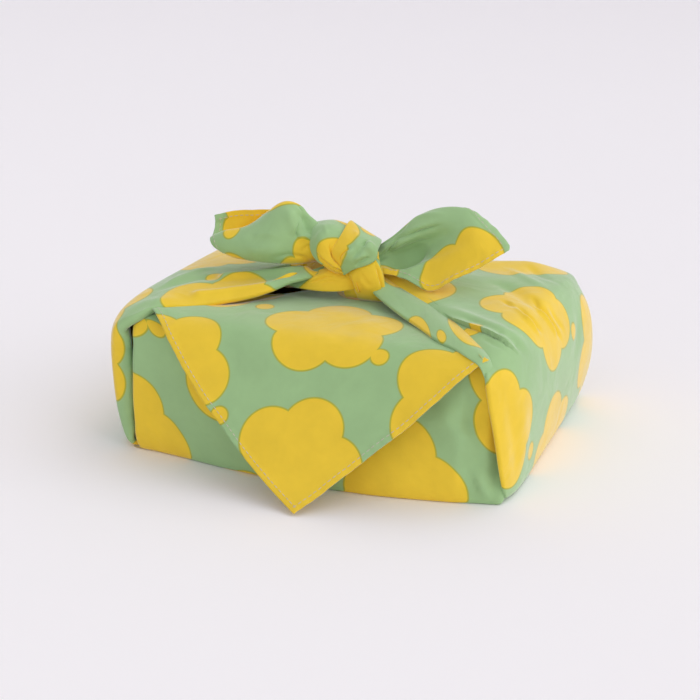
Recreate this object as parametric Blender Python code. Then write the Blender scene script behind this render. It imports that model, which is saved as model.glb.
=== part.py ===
"""Furoshiki wrap: one square cloth folded round a flat parcel and tied on top.

The cloth is one closed solid.  Its folds are lofted from short tables, in
millimetres, with the front of the parcel towards -Y and the floor at Z = 0.
"""
import math

import bmesh
import bpy
import numpy as np

MM = 0.001              # tables are in millimetres
SHEET = 2.0             # modelled thickness of free cloth, two layers at a hem
FLAP_RIGHT = 104.0      # length of the flap's right hem that is modelled
FLAP_LEFT = 128.0       # length of its left hem
FLAP_TIP = (13.0, -77.0)    # foot of the flap: across, and below the front edge
FLAP_TURN = (49.2, 137.6)   # directions of its two hems, degrees from +X

# Level of each ring of the parcel: height, half length, half width, corner radius.
BODY = [
    (0.0, 84.0, 64.0, 9.0),
    (0.9, 87.5, 68.0, 11.0),
    (4.0, 89.5, 71.2, 12.0),
    (12.0, 91.0, 71.8, 12.5),
    (28.0, 92.0, 71.0, 12.5),
    (44.0, 91.5, 69.8, 12.5),
    (54.0, 90.0, 69.0, 12.0),
    (59.5, 88.0, 67.8, 11.0),
    (62.3, 84.0, 64.5, 10.0),
    (63.4, 78.0, 58.5, 10.0),
    (63.9, 50.0, 36.0, 10.0),
    (64.0, 20.0, 14.0, 8.0),
]

# How far the front panel swells past the parcel at the floor: across, forward.
# It dies away with height, so the panel leans in towards its top.
FRONT_BOW = [
    (-88.0, 0.0), (-72.0, 1.0), (-58.0, 3.0), (-39.0, 6.6), (-22.0, 9.0), (0.0, 11.2),
    (18.0, 12.6), (30.0, 12.4), (48.0, 11.0), (70.0, 8.0), (84.0, 5.0), (92.0, 4.0),
]
FRONT_TOP = 62.0        # height at which the bow has died away
FRONT_CORNER = 5.0      # radius of the parcel's two front corners

# Cloth gathered from the left end to the knot, one row a station.
# Front edge, crown and back edge as x, y, z; fullness; depth filled below.
LEFT_EAR = [
    (-86.0, -70.0, 2.0, -91.0, 0.0, 1.0, -86.0, 70.0, 2.0, 8, 9),
    (-87.6, -72.0, 8.0, -95.5, 0.0, 9.0, -88.0, 72.0, 8.0, 8, 9),
    (-88.5, -73.0, 22.0, -98.0, 0.0, 26.0, -89.0, 73.0, 22.0, 8, 9),
    (-88.6, -73.5, 40.0, -98.5, 0.0, 44.0, -89.5, 73.0, 40.0, 8, 9),
    (-88.3, -73.5, 52.0, -97.5, 0.0, 57.0, -89.0, 72.5, 52.0, 7, 9),
    (-87.0, -71.5, 59.5, -93.5, 0.0, 65.5, -87.0, 69.0, 60.0, 5, 9),
    (-83.4, -67.0, 63.0, -85.0, 1.0, 69.5, -83.0, 62.0, 64.0, 4, 9),
    (-76.4, -59.5, 64.6, -72.0, 1.0, 71.5, -74.0, 54.0, 65.5, 3.5, 10),
    (-49.8, -45.0, 65.6, -46.0, 0.0, 73.0, -50.0, 36.0, 67.5, 3, 11),
    (-27.9, -32.0, 68.5, -25.0, -3.0, 76.5, -28.0, 18.0, 70.5, 2.6, 11),
    (-14.0, -18.0, 72.0, -12.0, -6.0, 79.0, -13.0, 4.0, 74.0, 2.4, 7),
    (-6.0, -12.0, 75.0, -4.0, -6.0, 80.0, -5.0, -1.0, 76.0, 2.2, 4),
]

# The same from the right end; its front edge is the fold that laps the front.
RIGHT_EAR = [
    (90.2, -69.5, 1.5, 92.0, 0.0, 1.0, 88.0, 70.0, 2.0, 8, 9),
    (89.2, -71.5, 8.0, 95.5, 0.0, 9.0, 92.0, 72.0, 8.0, 8, 9),
    (87.5, -72.8, 20.0, 97.5, 0.0, 24.0, 95.0, 72.5, 20.0, 8, 9),
    (84.8, -73.0, 36.0, 97.5, 0.0, 40.0, 94.5, 72.0, 36.0, 6, 9),
    (82.3, -72.6, 50.0, 95.5, 0.0, 54.0, 92.0, 70.5, 49.0, 5, 9),
    (80.8, -70.3, 59.5, 91.5, 0.0, 63.2, 88.5, 68.5, 58.0, 4, 9),
    (77.0, -61.0, 63.6, 88.0, -2.0, 68.5, 86.0, 66.0, 63.5, 4, 9),
    (66.5, -43.0, 65.6, 72.0, -3.0, 71.0, 72.0, 60.0, 65.0, 3.5, 10),
    (50.0, -25.0, 68.6, 52.0, -4.0, 73.0, 52.0, 50.0, 68.0, 3, 11),
    (34.0, -13.0, 71.0, 34.0, -3.0, 75.0, 31.0, 24.0, 70.0, 2.6, 10),
    (18.0, -8.0, 73.5, 18.0, -3.0, 77.0, 16.0, 6.0, 74.0, 2.4, 7),
    (8.0, -8.0, 75.0, 8.0, -4.0, 79.0, 8.0, 0.0, 76.0, 2.2, 4),
]

# Radial folds on the right ear: station and place across where the fold
# starts and ends, height (valleys negative) and half width across.
RIGHT_FOLDS = [
    (9.6, 0.30, 5.8, 0.22, 2.6, 0.085),
    (8.6, 0.15, 5.8, 0.13, -1.8, 0.060),
    (7.6, 0.44, 5.8, 0.34, 1.4, 0.070),
    (10.4, 0.86, 6.0, 0.90, 3.4, 0.090),
]

# Folded strip from the right front corner to the knot: lower edge, middle, upper edge.
STRIP = [
    ((79.4, -69.5, 59.5), (80.6, -68.0, 61.0), (82.0, -66.0, 61.0)),
    ((75.0, -66.0, 62.4), (76.0, -62.0, 64.2), (77.5, -58.5, 63.4)),
    ((66.9, -60.4, 63.6), (66.2, -50.0, 66.4), (65.2, -40.5, 65.8)),
    ((55.8, -53.6, 64.8), (55.2, -40.0, 68.0), (54.1, -27.0, 67.8)),
    ((37.7, -40.1, 67.0), (38.4, -28.0, 70.7), (38.6, -15.5, 70.5)),
    ((25.0, -30.0, 69.2), (26.2, -20.0, 73.0), (27.0, -9.0, 72.6)),
    ((14.8, -20.1, 71.0), (17.5, -13.0, 75.0), (19.8, -3.0, 74.0)),
    ((7.0, -14.0, 73.0), (9.0, -9.0, 76.0), (11.0, 0.0, 75.0)),
]

# Section of the flap down its middle: distance past the front edge, y, z.
FLAP = [
    (-77.0, -112.5, 1.2),
    (-60.0, -103.4, 15.2),
    (-40.0, -92.6, 32.0),
    (-20.0, -82.0, 48.9),
    (-8.0, -75.6, 59.0),
    (0.0, -69.8, 63.4),
    (8.0, -62.5, 64.9),
    (20.0, -50.6, 65.2),
    (40.0, -30.7, 64.9),
    (60.0, -10.7, 64.5),
    (80.0, 9.3, 63.4),
    (95.0, 24.2, 62.0),
]

# Left tail, tip to knot: back hem, valley, behind ridge, ridge, front, lower fold, lip.
LEFT_TAIL = [
    ((-72.5, -5.0, 96.0), (-71.5, -8.0, 91.0), (-70.5, -12.5, 88.0), (-69.0, -17.0, 88.5),
     (-67.0, -20.0, 86.5), (-63.5, -19.0, 84.2), (-61.5, -14.5, 83.6)),
    ((-66.0, -2.0, 98.0), (-66.0, -5.0, 88.0), (-64.0, -10.5, 88.5), (-62.5, -17.0, 92.2),
     (-60.5, -22.0, 88.0), (-58.0, -21.0, 82.0), (-55.5, -14.0, 81.0)),
    ((-56.0, 1.0, 99.0), (-56.0, -1.0, 87.0), (-54.5, -8.0, 88.5), (-53.0, -15.0, 94.5),
     (-52.0, -23.0, 89.0), (-50.0, -22.0, 81.3), (-48.0, -14.0, 80.0)),
    ((-46.0, 3.0, 99.5), (-45.0, 2.0, 88.0), (-43.5, -5.0, 91.5), (-42.0, -12.0, 102.0),
     (-41.0, -22.0, 93.0), (-40.0, -22.0, 81.5), (-38.0, -13.0, 79.0)),
    ((-37.0, 5.0, 98.5), (-36.5, 3.5, 88.5), (-35.5, -3.5, 93.0), (-34.5, -9.5, 107.0),
     (-32.0, -20.0, 97.0), (-31.0, -20.0, 82.0), (-30.0, -11.0, 78.6)),
    ((-29.0, 6.0, 97.0), (-28.5, 4.5, 88.5), (-28.0, -2.0, 92.5), (-27.0, -8.5, 105.5),
     (-26.0, -17.0, 96.0), (-24.5, -17.0, 82.0), (-24.0, -8.5, 78.6)),
    ((-20.5, 5.0, 93.0), (-20.0, 3.5, 87.0), (-19.5, -2.0, 90.0), (-18.5, -7.0, 97.5),
     (-17.5, -13.5, 92.0), (-17.0, -13.5, 83.5), (-17.0, -5.5, 79.5)),
    ((-11.0, 3.0, 91.0), (-11.0, 2.0, 86.5), (-10.5, -2.5, 88.5), (-10.0, -6.5, 93.0),
     (-10.0, -11.5, 89.5), (-10.0, -11.5, 84.0), (-10.5, -4.5, 81.0)),
]

# Right tail, knot to tip: back, top ridge, inner fold, hollow, lower leaf, hem.
RIGHT_TAIL = [
    ((7.5, 3.0, 80.0), (8.0, 0.0, 87.0), (9.0, -3.5, 86.0), (9.0, -6.5, 83.0),
     (9.5, -9.0, 80.0), (9.5, -11.5, 76.5)),
    ((17.0, 6.5, 85.5), (16.5, 1.5, 93.5), (19.0, -3.5, 90.5), (20.5, 0.5, 86.0),
     (22.0, -4.5, 81.5), (20.0, -12.5, 77.5)),
    ((25.0, 9.5, 90.0), (23.5, 3.5, 100.0), (27.5, -3.0, 96.5), (31.0, 1.5, 90.5),
     (32.0, -6.0, 83.5), (29.5, -15.5, 76.5)),
    ((34.0, 10.5, 95.0), (33.0, 5.0, 105.6), (37.0, -1.5, 101.5), (40.0, 0.0, 95.5),
     (42.0, -8.0, 86.0), (39.7, -18.0, 74.0)),
    ((45.0, 10.0, 101.0), (44.0, 5.5, 107.6), (46.5, 0.0, 103.5), (49.0, -3.0, 97.0),
     (50.0, -9.5, 88.0), (49.0, -18.0, 79.0)),
    ((54.2, 7.0, 104.0), (53.8, 4.0, 105.8), (54.5, -0.5, 102.5), (56.5, -5.0, 97.0),
     (58.0, -9.5, 90.0), (58.0, -14.5, 83.7)),
    ((62.2, 3.2, 100.8), (62.8, 1.2, 100.0), (63.4, -1.5, 98.0), (64.0, -4.0, 95.3),
     (64.8, -7.0, 91.8), (65.3, -10.0, 88.2)),
    ((70.6, -0.2, 95.0), (70.9, -0.8, 94.4), (71.2, -1.5, 93.5), (71.3, -2.3, 92.5),
     (71.2, -3.2, 91.4), (70.8, -4.0, 90.4)),
]

# Wraps of the knot, top to bottom: left edge, middle, right edge.
WRAP_LEFT = [
    ((-20.7, 6.0, 91.0), (-15.0, 5.0, 92.0), (-9.3, 4.0, 91.5)),
    ((-20.9, 2.0, 96.0), (-13.0, -1.5, 98.3), (-6.8, 0.0, 97.2)),
    ((-20.1, -5.0, 97.6), (-11.9, -8.5, 99.1), (-5.8, -6.0, 97.7)),
    ((-19.5, -11.0, 96.2), (-11.4, -14.5, 98.0), (-5.3, -12.0, 96.8)),
    ((-19.5, -15.0, 92.0), (-11.9, -18.7, 94.2), (-6.5, -16.5, 93.6)),
    ((-18.5, -17.5, 87.9), (-12.1, -20.6, 90.3), (-7.6, -18.5, 90.2)),
    ((-15.9, -18.5, 84.0), (-10.7, -21.1, 86.4), (-7.0, -19.5, 86.7)),
    ((-11.7, -19.0, 81.3), (-7.8, -21.2, 83.2), (-5.2, -20.0, 83.3)),
    ((-7.4, -18.5, 78.3), (-4.8, -20.3, 80.0), (-3.2, -19.5, 80.4)),
]
WRAP_MIDDLE = [
    ((-5.8, 5.0, 94.0), (0.1, 4.5, 92.0), (6.3, 5.0, 88.0)),
    ((-4.6, 0.0, 98.5), (2.6, -3.0, 95.6), (9.9, -1.0, 91.2)),
    ((-4.0, -9.0, 97.9), (4.8, -11.8, 95.4), (12.1, -9.0, 91.4)),
    ((-4.4, -15.0, 95.0), (5.7, -18.4, 93.8), (13.3, -15.0, 89.9)),
    ((-6.2, -18.5, 90.8), (4.6, -21.5, 90.0), (13.0, -18.0, 86.3)),
    ((-6.8, -20.0, 88.3), (2.6, -22.4, 87.2), (10.1, -19.8, 84.0)),
    ((-6.2, -20.5, 85.6), (0.9, -22.3, 85.1), (6.8, -20.8, 82.8)),
    ((-4.3, -20.5, 82.5), (-0.4, -21.8, 82.2), (2.7, -21.0, 80.9)),
]
WRAP_FRONT = [
    ((-0.7, -14.0, 82.3), (4.7, -15.5, 84.6), (9.5, -14.0, 86.1)),
    ((0.2, -17.5, 80.2), (6.6, -18.8, 83.2), (13.1, -16.5, 85.0)),
    ((2.0, -19.0, 76.0), (9.3, -21.1, 79.0), (16.1, -18.0, 79.8)),
    ((4.1, -19.5, 72.1), (11.3, -21.6, 74.0), (17.6, -18.5, 73.8)),
    ((4.8, -18.0, 68.2), (11.7, -19.7, 69.7), (18.0, -17.0, 69.5)),
    ((4.6, -15.0, 64.4), (11.2, -15.8, 64.6), (18.0, -14.0, 64.4)),
]
WRAP_SIDE = [
    ((-2.3, -14.0, 80.5), (-0.7, -14.8, 80.8), (1.6, -14.0, 80.8)),
    ((-2.6, -16.0, 77.3), (-0.8, -17.2, 78.3), (2.0, -15.0, 78.0)),
    ((-2.7, -16.5, 73.1), (0.4, -18.0, 74.4), (5.0, -16.0, 74.0)),
    ((-2.6, -16.0, 69.0), (1.1, -17.5, 70.2), (6.0, -15.5, 70.0)),
    ((-2.2, -14.5, 64.8), (1.3, -15.0, 65.0), (7.0, -14.0, 64.8)),
]
# Heart of the knot: centre and radii of each ball.
KNOT_BALLS = [
    (-9.0, -7.0, 87.0, 9.5, 11.0, 11.0),
    (3.0, -8.0, 84.0, 10.0, 12.0, 11.5),
    (7.5, -6.5, 73.0, 9.5, 10.5, 11.0),
]


def spline(rows, count):
    """Rows of a table smoothed to `count` rows by a Catmull-Rom curve."""
    rows = np.asarray(rows, float)
    last = len(rows) - 1
    t = np.linspace(0, last, count)
    i = np.clip(t.astype(int), 0, last - 1)
    f = (t - i).reshape((-1,) + (1,) * (rows.ndim - 1))
    q = np.concatenate([[2 * rows[0] - rows[1]], rows, [2 * rows[-1] - rows[-2]]])
    a, b, c, d = q[i], q[i + 1], q[i + 2], q[i + 3]
    return b + 0.5 * f * (c - a + f * (2 * a - 5 * b + 4 * c - d + f * (3 * (b - c) + d - a)))


def patch(table, rows, columns):
    """Smooth grid through a table of points."""
    grid = spline(table, rows)
    return spline(grid.transpose(1, 0, 2), columns).transpose(1, 0, 2)


def new_object(name, verts, faces):
    """Mesh object in the scene from millimetre points, with its faces outward."""
    mesh = bpy.data.meshes.new(name)
    mesh.from_pydata([tuple(MM * c for c in v) for v in verts], [], faces)
    bm = bmesh.new()
    bm.from_mesh(mesh)
    bmesh.ops.recalc_face_normals(bm, faces=bm.faces)
    bm.to_mesh(mesh)
    bm.free()
    part = bpy.data.objects.new(name, mesh)
    bpy.context.scene.collection.objects.link(part)
    return part


def grid_faces(rows, columns, start=0, flip=False):
    faces = []
    for i in range(rows - 1):
        for j in range(columns - 1):
            a = start + i * columns + j
            quad = (a, a + 1, a + columns + 1, a + columns)
            faces.append(quad[::-1] if flip else quad)
    return faces


def slab(name, outer, inner):
    """Closed solid between two grids of the same size."""
    rows, columns = outer.shape[:2]
    size = rows * columns
    verts = list(outer.reshape(-1, 3)) + list(inner.reshape(-1, 3))
    faces = grid_faces(rows, columns) + grid_faces(rows, columns, size, True)
    rim = [i * columns for i in range(rows)]
    rim += [(rows - 1) * columns + j for j in range(1, columns)]
    rim += [i * columns + columns - 1 for i in range(rows - 2, -1, -1)]
    rim += [j for j in range(columns - 2, 0, -1)]
    for n, a in enumerate(rim):
        b = rim[(n + 1) % len(rim)]
        faces.append((a, b, b + size, a + size))
    return new_object(name, verts, faces)


def sheet(name, grid, thickness, inward):
    """Grid thickened along its normals; inward is +1 or -1."""
    du = np.gradient(grid, axis=0)
    dv = np.gradient(grid, axis=1)
    normal = np.cross(du, dv)
    normal /= np.maximum(np.linalg.norm(normal, axis=2, keepdims=True), 1e-9)
    half = 0.5 * thickness * inward * normal
    return slab(name, grid - half, grid + half)


def body():
    """Wrapped parcel: rounded rings lofted from the base to the flat top."""
    per_corner, per_side = 7, 9
    verts, faces = [], []
    for z, a, b, r in BODY:
        ring = []
        for k, (sx, sy) in enumerate(((1, -1), (1, 1), (-1, 1), (-1, -1))):
            turn_radius = min(r, FRONT_CORNER) if sy < 0 else r
            centre = (sx * (a - turn_radius), sy * (b - turn_radius))
            for n in range(per_corner):
                turn = math.radians(-90 + 90 * k + 90 * n / (per_corner - 1))
                ring.append((centre[0] + turn_radius * math.cos(turn),
                             centre[1] + turn_radius * math.sin(turn), z))
        full = []
        for k in range(4):
            corner = ring[k * per_corner:(k + 1) * per_corner]
            nxt = ring[((k + 1) % 4) * per_corner]
            full += corner
            for n in range(1, per_side):
                f = n / per_side
                full.append(tuple(corner[-1][c] * (1 - f) + nxt[c] * f for c in range(3)))
        swell = max(0.0, 1.0 - z / FRONT_TOP)
        for x, y, _ in full:
            bow = np.interp(x, [p[0] for p in FRONT_BOW], [p[1] for p in FRONT_BOW])
            verts.append((x, y - swell * bow * max(0.0, -y / b), z))
    count = 4 * (per_corner + per_side - 1)
    for i in range(len(BODY) - 1):
        for j in range(count):
            k = (j + 1) % count
            faces.append((i * count + j, i * count + k, (i + 1) * count + k, (i + 1) * count + j))
    faces.append(tuple(range(count))[::-1])
    faces.append(tuple((len(BODY) - 1) * count + j for j in range(count)))
    return new_object("parcel", verts, faces)


def ear(name, table, folds, rows=28, columns=17):
    """Filled cloth from one end of the parcel to the knot."""
    wide = spline(table, rows)
    even = np.linspace(0, 1, columns)
    v = 0.35 * even + 0.65 * (0.5 - 0.5 * np.cos(np.pi * even))
    w = np.abs(2 * v - 1)
    front, crown, back = wide[:, 0:3], wide[:, 3:6], wide[:, 6:9]
    full = wide[:, 9]
    rise = 1 - w[None, :] ** full[:, None]
    lift = crown - 0.5 * (front + back)
    outer = front[:, None] * (1 - v)[None, :, None] + back[:, None] * v[None, :, None]
    outer = outer + lift[:, None] * rise[:, :, None]
    target = outer * np.array((0.5, 0.85, 0.0)) + np.array((0.0, 0.0, 34.0))
    inward = target - outer
    inward /= np.linalg.norm(inward, axis=2, keepdims=True)
    station = np.linspace(0, len(table) - 1, rows)
    for s0, v0, s1, v1, height, half in folds:
        along = (station - s1) / (s0 - s1)
        place = v1 + (v0 - v1) * along
        fade = np.clip(np.minimum(along, 1 - along) * 4 + 0.35, 0, 1)
        fade *= (along > -0.1) * (along < 1.1)
        bump = np.exp(-((v[None, :] - place[:, None]) / half) ** 2) * fade[:, None]
        outer = outer - inward * (height * bump)[:, :, None]
    near_edge = np.clip((1 - w) / 0.24, 0, 1) ** 1.3
    depth = SHEET + near_edge[None, :] * (wide[:, 10:11] - SHEET)
    return slab(name, outer, outer + inward * depth[:, :, None])


def flap(rows=16, columns=18):
    """Loose corner that lies on the top, rolls over the front edge and stands on its tip."""
    a = np.linspace(0, FLAP_RIGHT, rows)[:, None]
    b = np.linspace(0, FLAP_LEFT, columns)[None, :]
    ta, tb = (math.radians(t) for t in FLAP_TURN)
    across = FLAP_TIP[0] + a * math.cos(ta) + b * math.cos(tb)
    past = FLAP_TIP[1] + a * math.sin(ta) + b * math.sin(tb)
    key = [row[0] for row in FLAP]
    fine = np.linspace(key[0], key[-1], 300)
    curve = spline([row[1:] for row in FLAP], 300)
    # rows of the spline are even in table rows, so find each place by distance
    rowno = np.interp(fine, key, np.arange(len(key)))
    at = rowno * 299 / (len(key) - 1)
    y = np.interp(past, fine, np.interp(at, np.arange(300), curve[:, 0]))
    z = np.interp(past, fine, np.interp(at, np.arange(300), curve[:, 1]))
    z = z - np.clip((past + 20) / 30, 0, 1) * across * 0.010
    grid = np.stack([across, y, z], -1)
    return sheet("flap", grid, SHEET, 1)


def ball(name, row):
    bpy.ops.mesh.primitive_uv_sphere_add(segments=20, ring_count=12, radius=1.0)
    part = bpy.context.object
    part.name = name
    part.location = [MM * c for c in row[:3]]
    part.scale = [MM * c for c in row[3:]]
    bpy.ops.object.transform_apply(location=True, rotation=False, scale=True)
    return part


def unite(base, tools):
    """One Boolean union of all the folds into the wrapped parcel."""
    group = bpy.data.collections.new("folds")
    bpy.context.scene.collection.children.link(group)
    for tool in tools:
        group.objects.link(tool)
    bpy.ops.object.select_all(action="DESELECT")
    base.select_set(True)
    bpy.context.view_layer.objects.active = base
    mod = base.modifiers.new("unite", "BOOLEAN")
    mod.operation = "UNION"
    mod.solver = "EXACT"
    mod.operand_type = "COLLECTION"
    mod.collection = group
    mod.use_self = True
    bpy.ops.object.modifier_apply(modifier=mod.name)
    for tool in tools:
        bpy.data.objects.remove(tool)
    bpy.data.collections.remove(group)


def fill_pockets(bm):
    """Closes the pockets left inside between folds by dropping their walls."""
    shells, seen = [], set()
    for start in bm.verts:
        if start in seen:
            continue
        shell, queue = [], [start]
        seen.add(start)
        while queue:
            vert = queue.pop()
            shell.append(vert)
            for edge in vert.link_edges:
                other = edge.other_vert(vert)
                if other not in seen:
                    seen.add(other)
                    queue.append(other)
        shells.append(shell)
    shells.sort(key=len)
    inner = [vert for shell in shells[:-1] for vert in shell]
    bmesh.ops.delete(bm, geom=inner, context="VERTS")


def cotton():
    mat = bpy.data.materials.new("cotton")
    mat.use_nodes = True
    shader = mat.node_tree.nodes["Principled BSDF"]
    shader.inputs["Base Color"].default_value = (0.27, 0.42, 0.24, 1.0)
    shader.inputs["Roughness"].default_value = 0.9
    mat.diffuse_color = (0.27, 0.42, 0.24, 1.0)
    return mat


def main():
    for old in list(bpy.data.objects):
        bpy.data.objects.remove(old)
    cloth = body()
    pieces = [
        ear("left_ear", LEFT_EAR, []),
        ear("right_ear", RIGHT_EAR, RIGHT_FOLDS),
        flap(),
        sheet("strip", patch(STRIP, 18, 7), SHEET, 1),
    ]
    pieces += [ball("knot_ball", row) for row in KNOT_BALLS]
    pieces += [
        sheet("wrap_left", patch(WRAP_LEFT, 15, 5), 2.4, 1),
        sheet("wrap_middle", patch(WRAP_MIDDLE, 13, 7), 2.6, 1),
        sheet("wrap_front", patch(WRAP_FRONT, 11, 7), 3.0, 1),
        sheet("wrap_side", patch(WRAP_SIDE, 9, 5), 2.4, 1),
        sheet("left_tail", patch(LEFT_TAIL, 18, 16), SHEET, 1),
        sheet("right_tail", patch(RIGHT_TAIL, 18, 13), SHEET, 1),
    ]
    unite(cloth, pieces)
    bm = bmesh.new()
    bm.from_mesh(cloth.data)
    for vert in bm.verts:
        vert.co.z = max(vert.co.z, 0.0)
    bmesh.ops.remove_doubles(bm, verts=bm.verts, dist=0.00005)
    fill_pockets(bm)
    bmesh.ops.recalc_face_normals(bm, faces=bm.faces)
    bm.to_mesh(cloth.data)
    bm.free()
    cloth.name = "furoshiki"
    cloth.data.name = "furoshiki"
    cloth.data.materials.clear()
    cloth.data.materials.append(cotton())
    for face in cloth.data.polygons:
        face.use_smooth = True
    home = bpy.data.collections.new("furoshiki_wrap")
    bpy.context.scene.collection.children.link(home)
    bpy.context.scene.collection.objects.unlink(cloth)
    home.objects.link(cloth)


main()
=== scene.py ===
"""Furoshiki wrap: printed cotton folded round a flat parcel and knotted on top.

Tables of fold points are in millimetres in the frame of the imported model:
+X along the parcel, -Y towards the hanging corner, +Z up.  Each sheet of the
cloth is a grid laid over its table, with its place on the flat square as UV.
"""
import math

import bpy
import numpy as np
from mathutils import Matrix, Vector


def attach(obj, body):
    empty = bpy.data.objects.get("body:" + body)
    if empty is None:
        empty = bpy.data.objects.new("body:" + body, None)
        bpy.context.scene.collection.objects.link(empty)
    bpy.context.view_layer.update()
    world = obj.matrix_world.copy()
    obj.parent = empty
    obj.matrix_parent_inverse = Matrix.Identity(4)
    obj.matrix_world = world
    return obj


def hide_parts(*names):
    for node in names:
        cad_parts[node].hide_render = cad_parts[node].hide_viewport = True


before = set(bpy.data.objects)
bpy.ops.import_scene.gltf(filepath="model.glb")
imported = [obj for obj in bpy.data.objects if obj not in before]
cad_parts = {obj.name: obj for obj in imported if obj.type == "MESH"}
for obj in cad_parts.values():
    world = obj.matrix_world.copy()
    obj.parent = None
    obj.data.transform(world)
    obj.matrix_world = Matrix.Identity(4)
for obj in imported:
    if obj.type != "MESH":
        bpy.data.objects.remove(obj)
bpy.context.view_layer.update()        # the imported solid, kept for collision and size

bl_info = {
    "name": "Furoshiki wrap",
    "version": (1, 0, 0),
    "blender": (4, 5, 0),
    "location": "View3D > Sidebar > Furoshiki",
    "description": "Builds a printed cotton wrap round a flat parcel",
    "category": "Add Mesh",
}

MM = 0.001
NODE = "furoshiki"

# Rings of the parcel: height, half length, half width, corner radius.
PARCEL_RINGS = [
    (0.0, 3.0, 3.0, 2.0),
    (0.0, 40.0, 30.0, 8.0),
    (0.0, 76.0, 58.0, 9.0),
    (0.05, 85.0, 67.6, 9.0),
    (0.7, 88.2, 70.8, 11.0),
    (4.0, 89.8, 71.9, 12.0),
    (12.0, 91.0, 71.9, 12.5),
    (28.0, 92.0, 71.0, 12.5),
    (44.0, 91.5, 69.8, 12.5),
    (54.0, 90.0, 69.0, 12.0),
    (59.5, 88.0, 67.8, 11.0),
    (62.3, 84.0, 64.5, 10.0),
    (63.2, 74.0, 54.5, 10.0),
    (63.4, 62.0, 46.0, 10.0),
]

# How far the front panel swells past the parcel at the floor: across, forward.
FRONT_BOW = [
    (-88.0, 0.0), (-72.0, 1.6), (-58.0, 4.2), (-39.0, 8.2), (-22.0, 10.8), (0.0, 13.0),
    (18.0, 14.4), (30.0, 14.2), (48.0, 12.6), (70.0, 9.0), (84.0, 5.4), (92.0, 4.6),
]
FRONT_TOP = 62.0        # height at which the swell has died away

# Where the front panel turns in at its two upright folds: height, left x, right x.
PANEL_FOLDS = [
    (0.0, -86.6, 95.2),
    (4.0, -86.4, 93.6),
    (12.0, -85.9, 92.2),
    (20.0, -86.0, 90.4),
    (36.0, -85.8, 87.2),
    (50.0, -86.6, 85.2),
    (58.5, -88.8, 84.6),
    (63.5, -88.5, 84.0),
]

# How far the front panel sinks in beside its right upright fold: height, depth.
PANEL_SINK = [(0.0, 0.0), (5.0, 2.0), (14.0, 5.5), (30.0, 6.0), (46.0, 5.0), (58.0, 2.0), (63.0, 0.0)]

# Gathered ends, one row a station from under the parcel to the knot: front edge,
# crown and back edge as x, y, z; fullness of the section; radius of its front fold.
LEFT_END = [
    (-80.0, -62.0, 0.3, -84.0, 0.0, 0.3, -80.0, 62.0, 0.3, 8, 1.0),
    (-87.4, -69.9, 1.6, -91.5, 0.0, 1.6, -86.5, 69.5, 1.6, 8, 1.2),
    (-91.2, -70.4, 8.0, -95.5, 0.0, 9.0, -88.3, 72.0, 8.0, 8, 3.0),
    (-94.8, -69.4, 22.0, -98.0, 0.0, 26.0, -89.0, 73.0, 22.0, 8, 4.6),
    (-96.0, -69.2, 40.0, -98.9, 0.0, 44.0, -89.5, 73.0, 40.0, 8, 5.2),
    (-95.4, -69.8, 52.0, -98.4, 0.0, 57.0, -89.0, 72.5, 52.0, 7, 4.6),
    (-92.0, -70.6, 60.2, -94.0, 0.0, 65.5, -87.0, 69.0, 60.0, 5, 3.0),
    (-84.4, -68.4, 64.2, -85.5, 1.0, 69.5, -83.0, 62.0, 64.0, 4, 2.2),
    (-77.4, -62.6, 66.8, -73.0, 1.0, 71.5, -74.0, 54.0, 65.5, 3.5, 1.8),
    (-63.0, -53.4, 66.8, -60.0, 1.0, 72.5, -62.0, 45.0, 66.5, 3.2, 1.5),
    (-49.8, -45.0, 67.9, -46.0, 0.0, 73.6, -50.0, 36.0, 67.5, 3, 1.3),
    (-27.9, -32.0, 72.2, -25.0, -3.0, 77.2, -28.0, 18.0, 70.5, 2.6, 1.2),
    (-14.0, -18.5, 77.0, -12.0, -6.0, 80.5, -13.0, 4.0, 74.0, 2.4, 1.0),
    (-4.0, -11.0, 79.0, -3.0, -6.0, 82.0, -4.0, -1.0, 76.5, 2.2, 1.0),
]
RIGHT_END = [
    (88.0, -64.0, 0.5, 86.0, 0.0, 0.3, 82.0, 62.0, 0.3, 8, 0.7),
    (92.2, -70.8, 2.4, 93.0, 0.0, 1.2, 88.5, 69.5, 1.6, 8, 0.8),
    (92.0, -73.0, 9.0, 95.5, 0.0, 9.0, 92.0, 72.0, 8.0, 8, 1.0),
    (90.6, -74.0, 20.0, 97.2, 0.0, 22.5, 95.0, 72.0, 20.0, 7, 1.2),
    (87.7, -74.4, 36.0, 97.6, 0.0, 40.0, 94.5, 71.5, 36.0, 6, 1.2),
    (84.8, -73.6, 49.5, 95.5, 0.0, 54.0, 91.5, 70.5, 49.0, 5, 1.2),
    (82.3, -71.4, 58.8, 91.5, 0.0, 63.2, 88.0, 68.5, 58.5, 4, 1.1),
    (76.0, -63.0, 63.0, 87.0, -2.0, 68.5, 85.5, 65.5, 63.8, 4, 1.0),
    (63.5, -51.0, 64.6, 72.0, -3.0, 71.0, 72.0, 60.0, 66.5, 3.5, 1.0),
    (47.0, -36.0, 66.0, 52.0, -4.0, 73.0, 52.0, 48.0, 68.0, 3, 1.0),
    (32.0, -22.0, 68.6, 34.0, -3.0, 75.0, 31.0, 26.0, 71.0, 2.6, 1.0),
    (17.0, -12.0, 72.0, 18.0, -3.0, 77.0, 16.0, 6.0, 74.0, 2.4, 1.0),
    (6.0, -9.0, 74.5, 6.0, -4.0, 79.0, 6.0, 0.0, 76.0, 2.2, 1.0),
]

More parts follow.
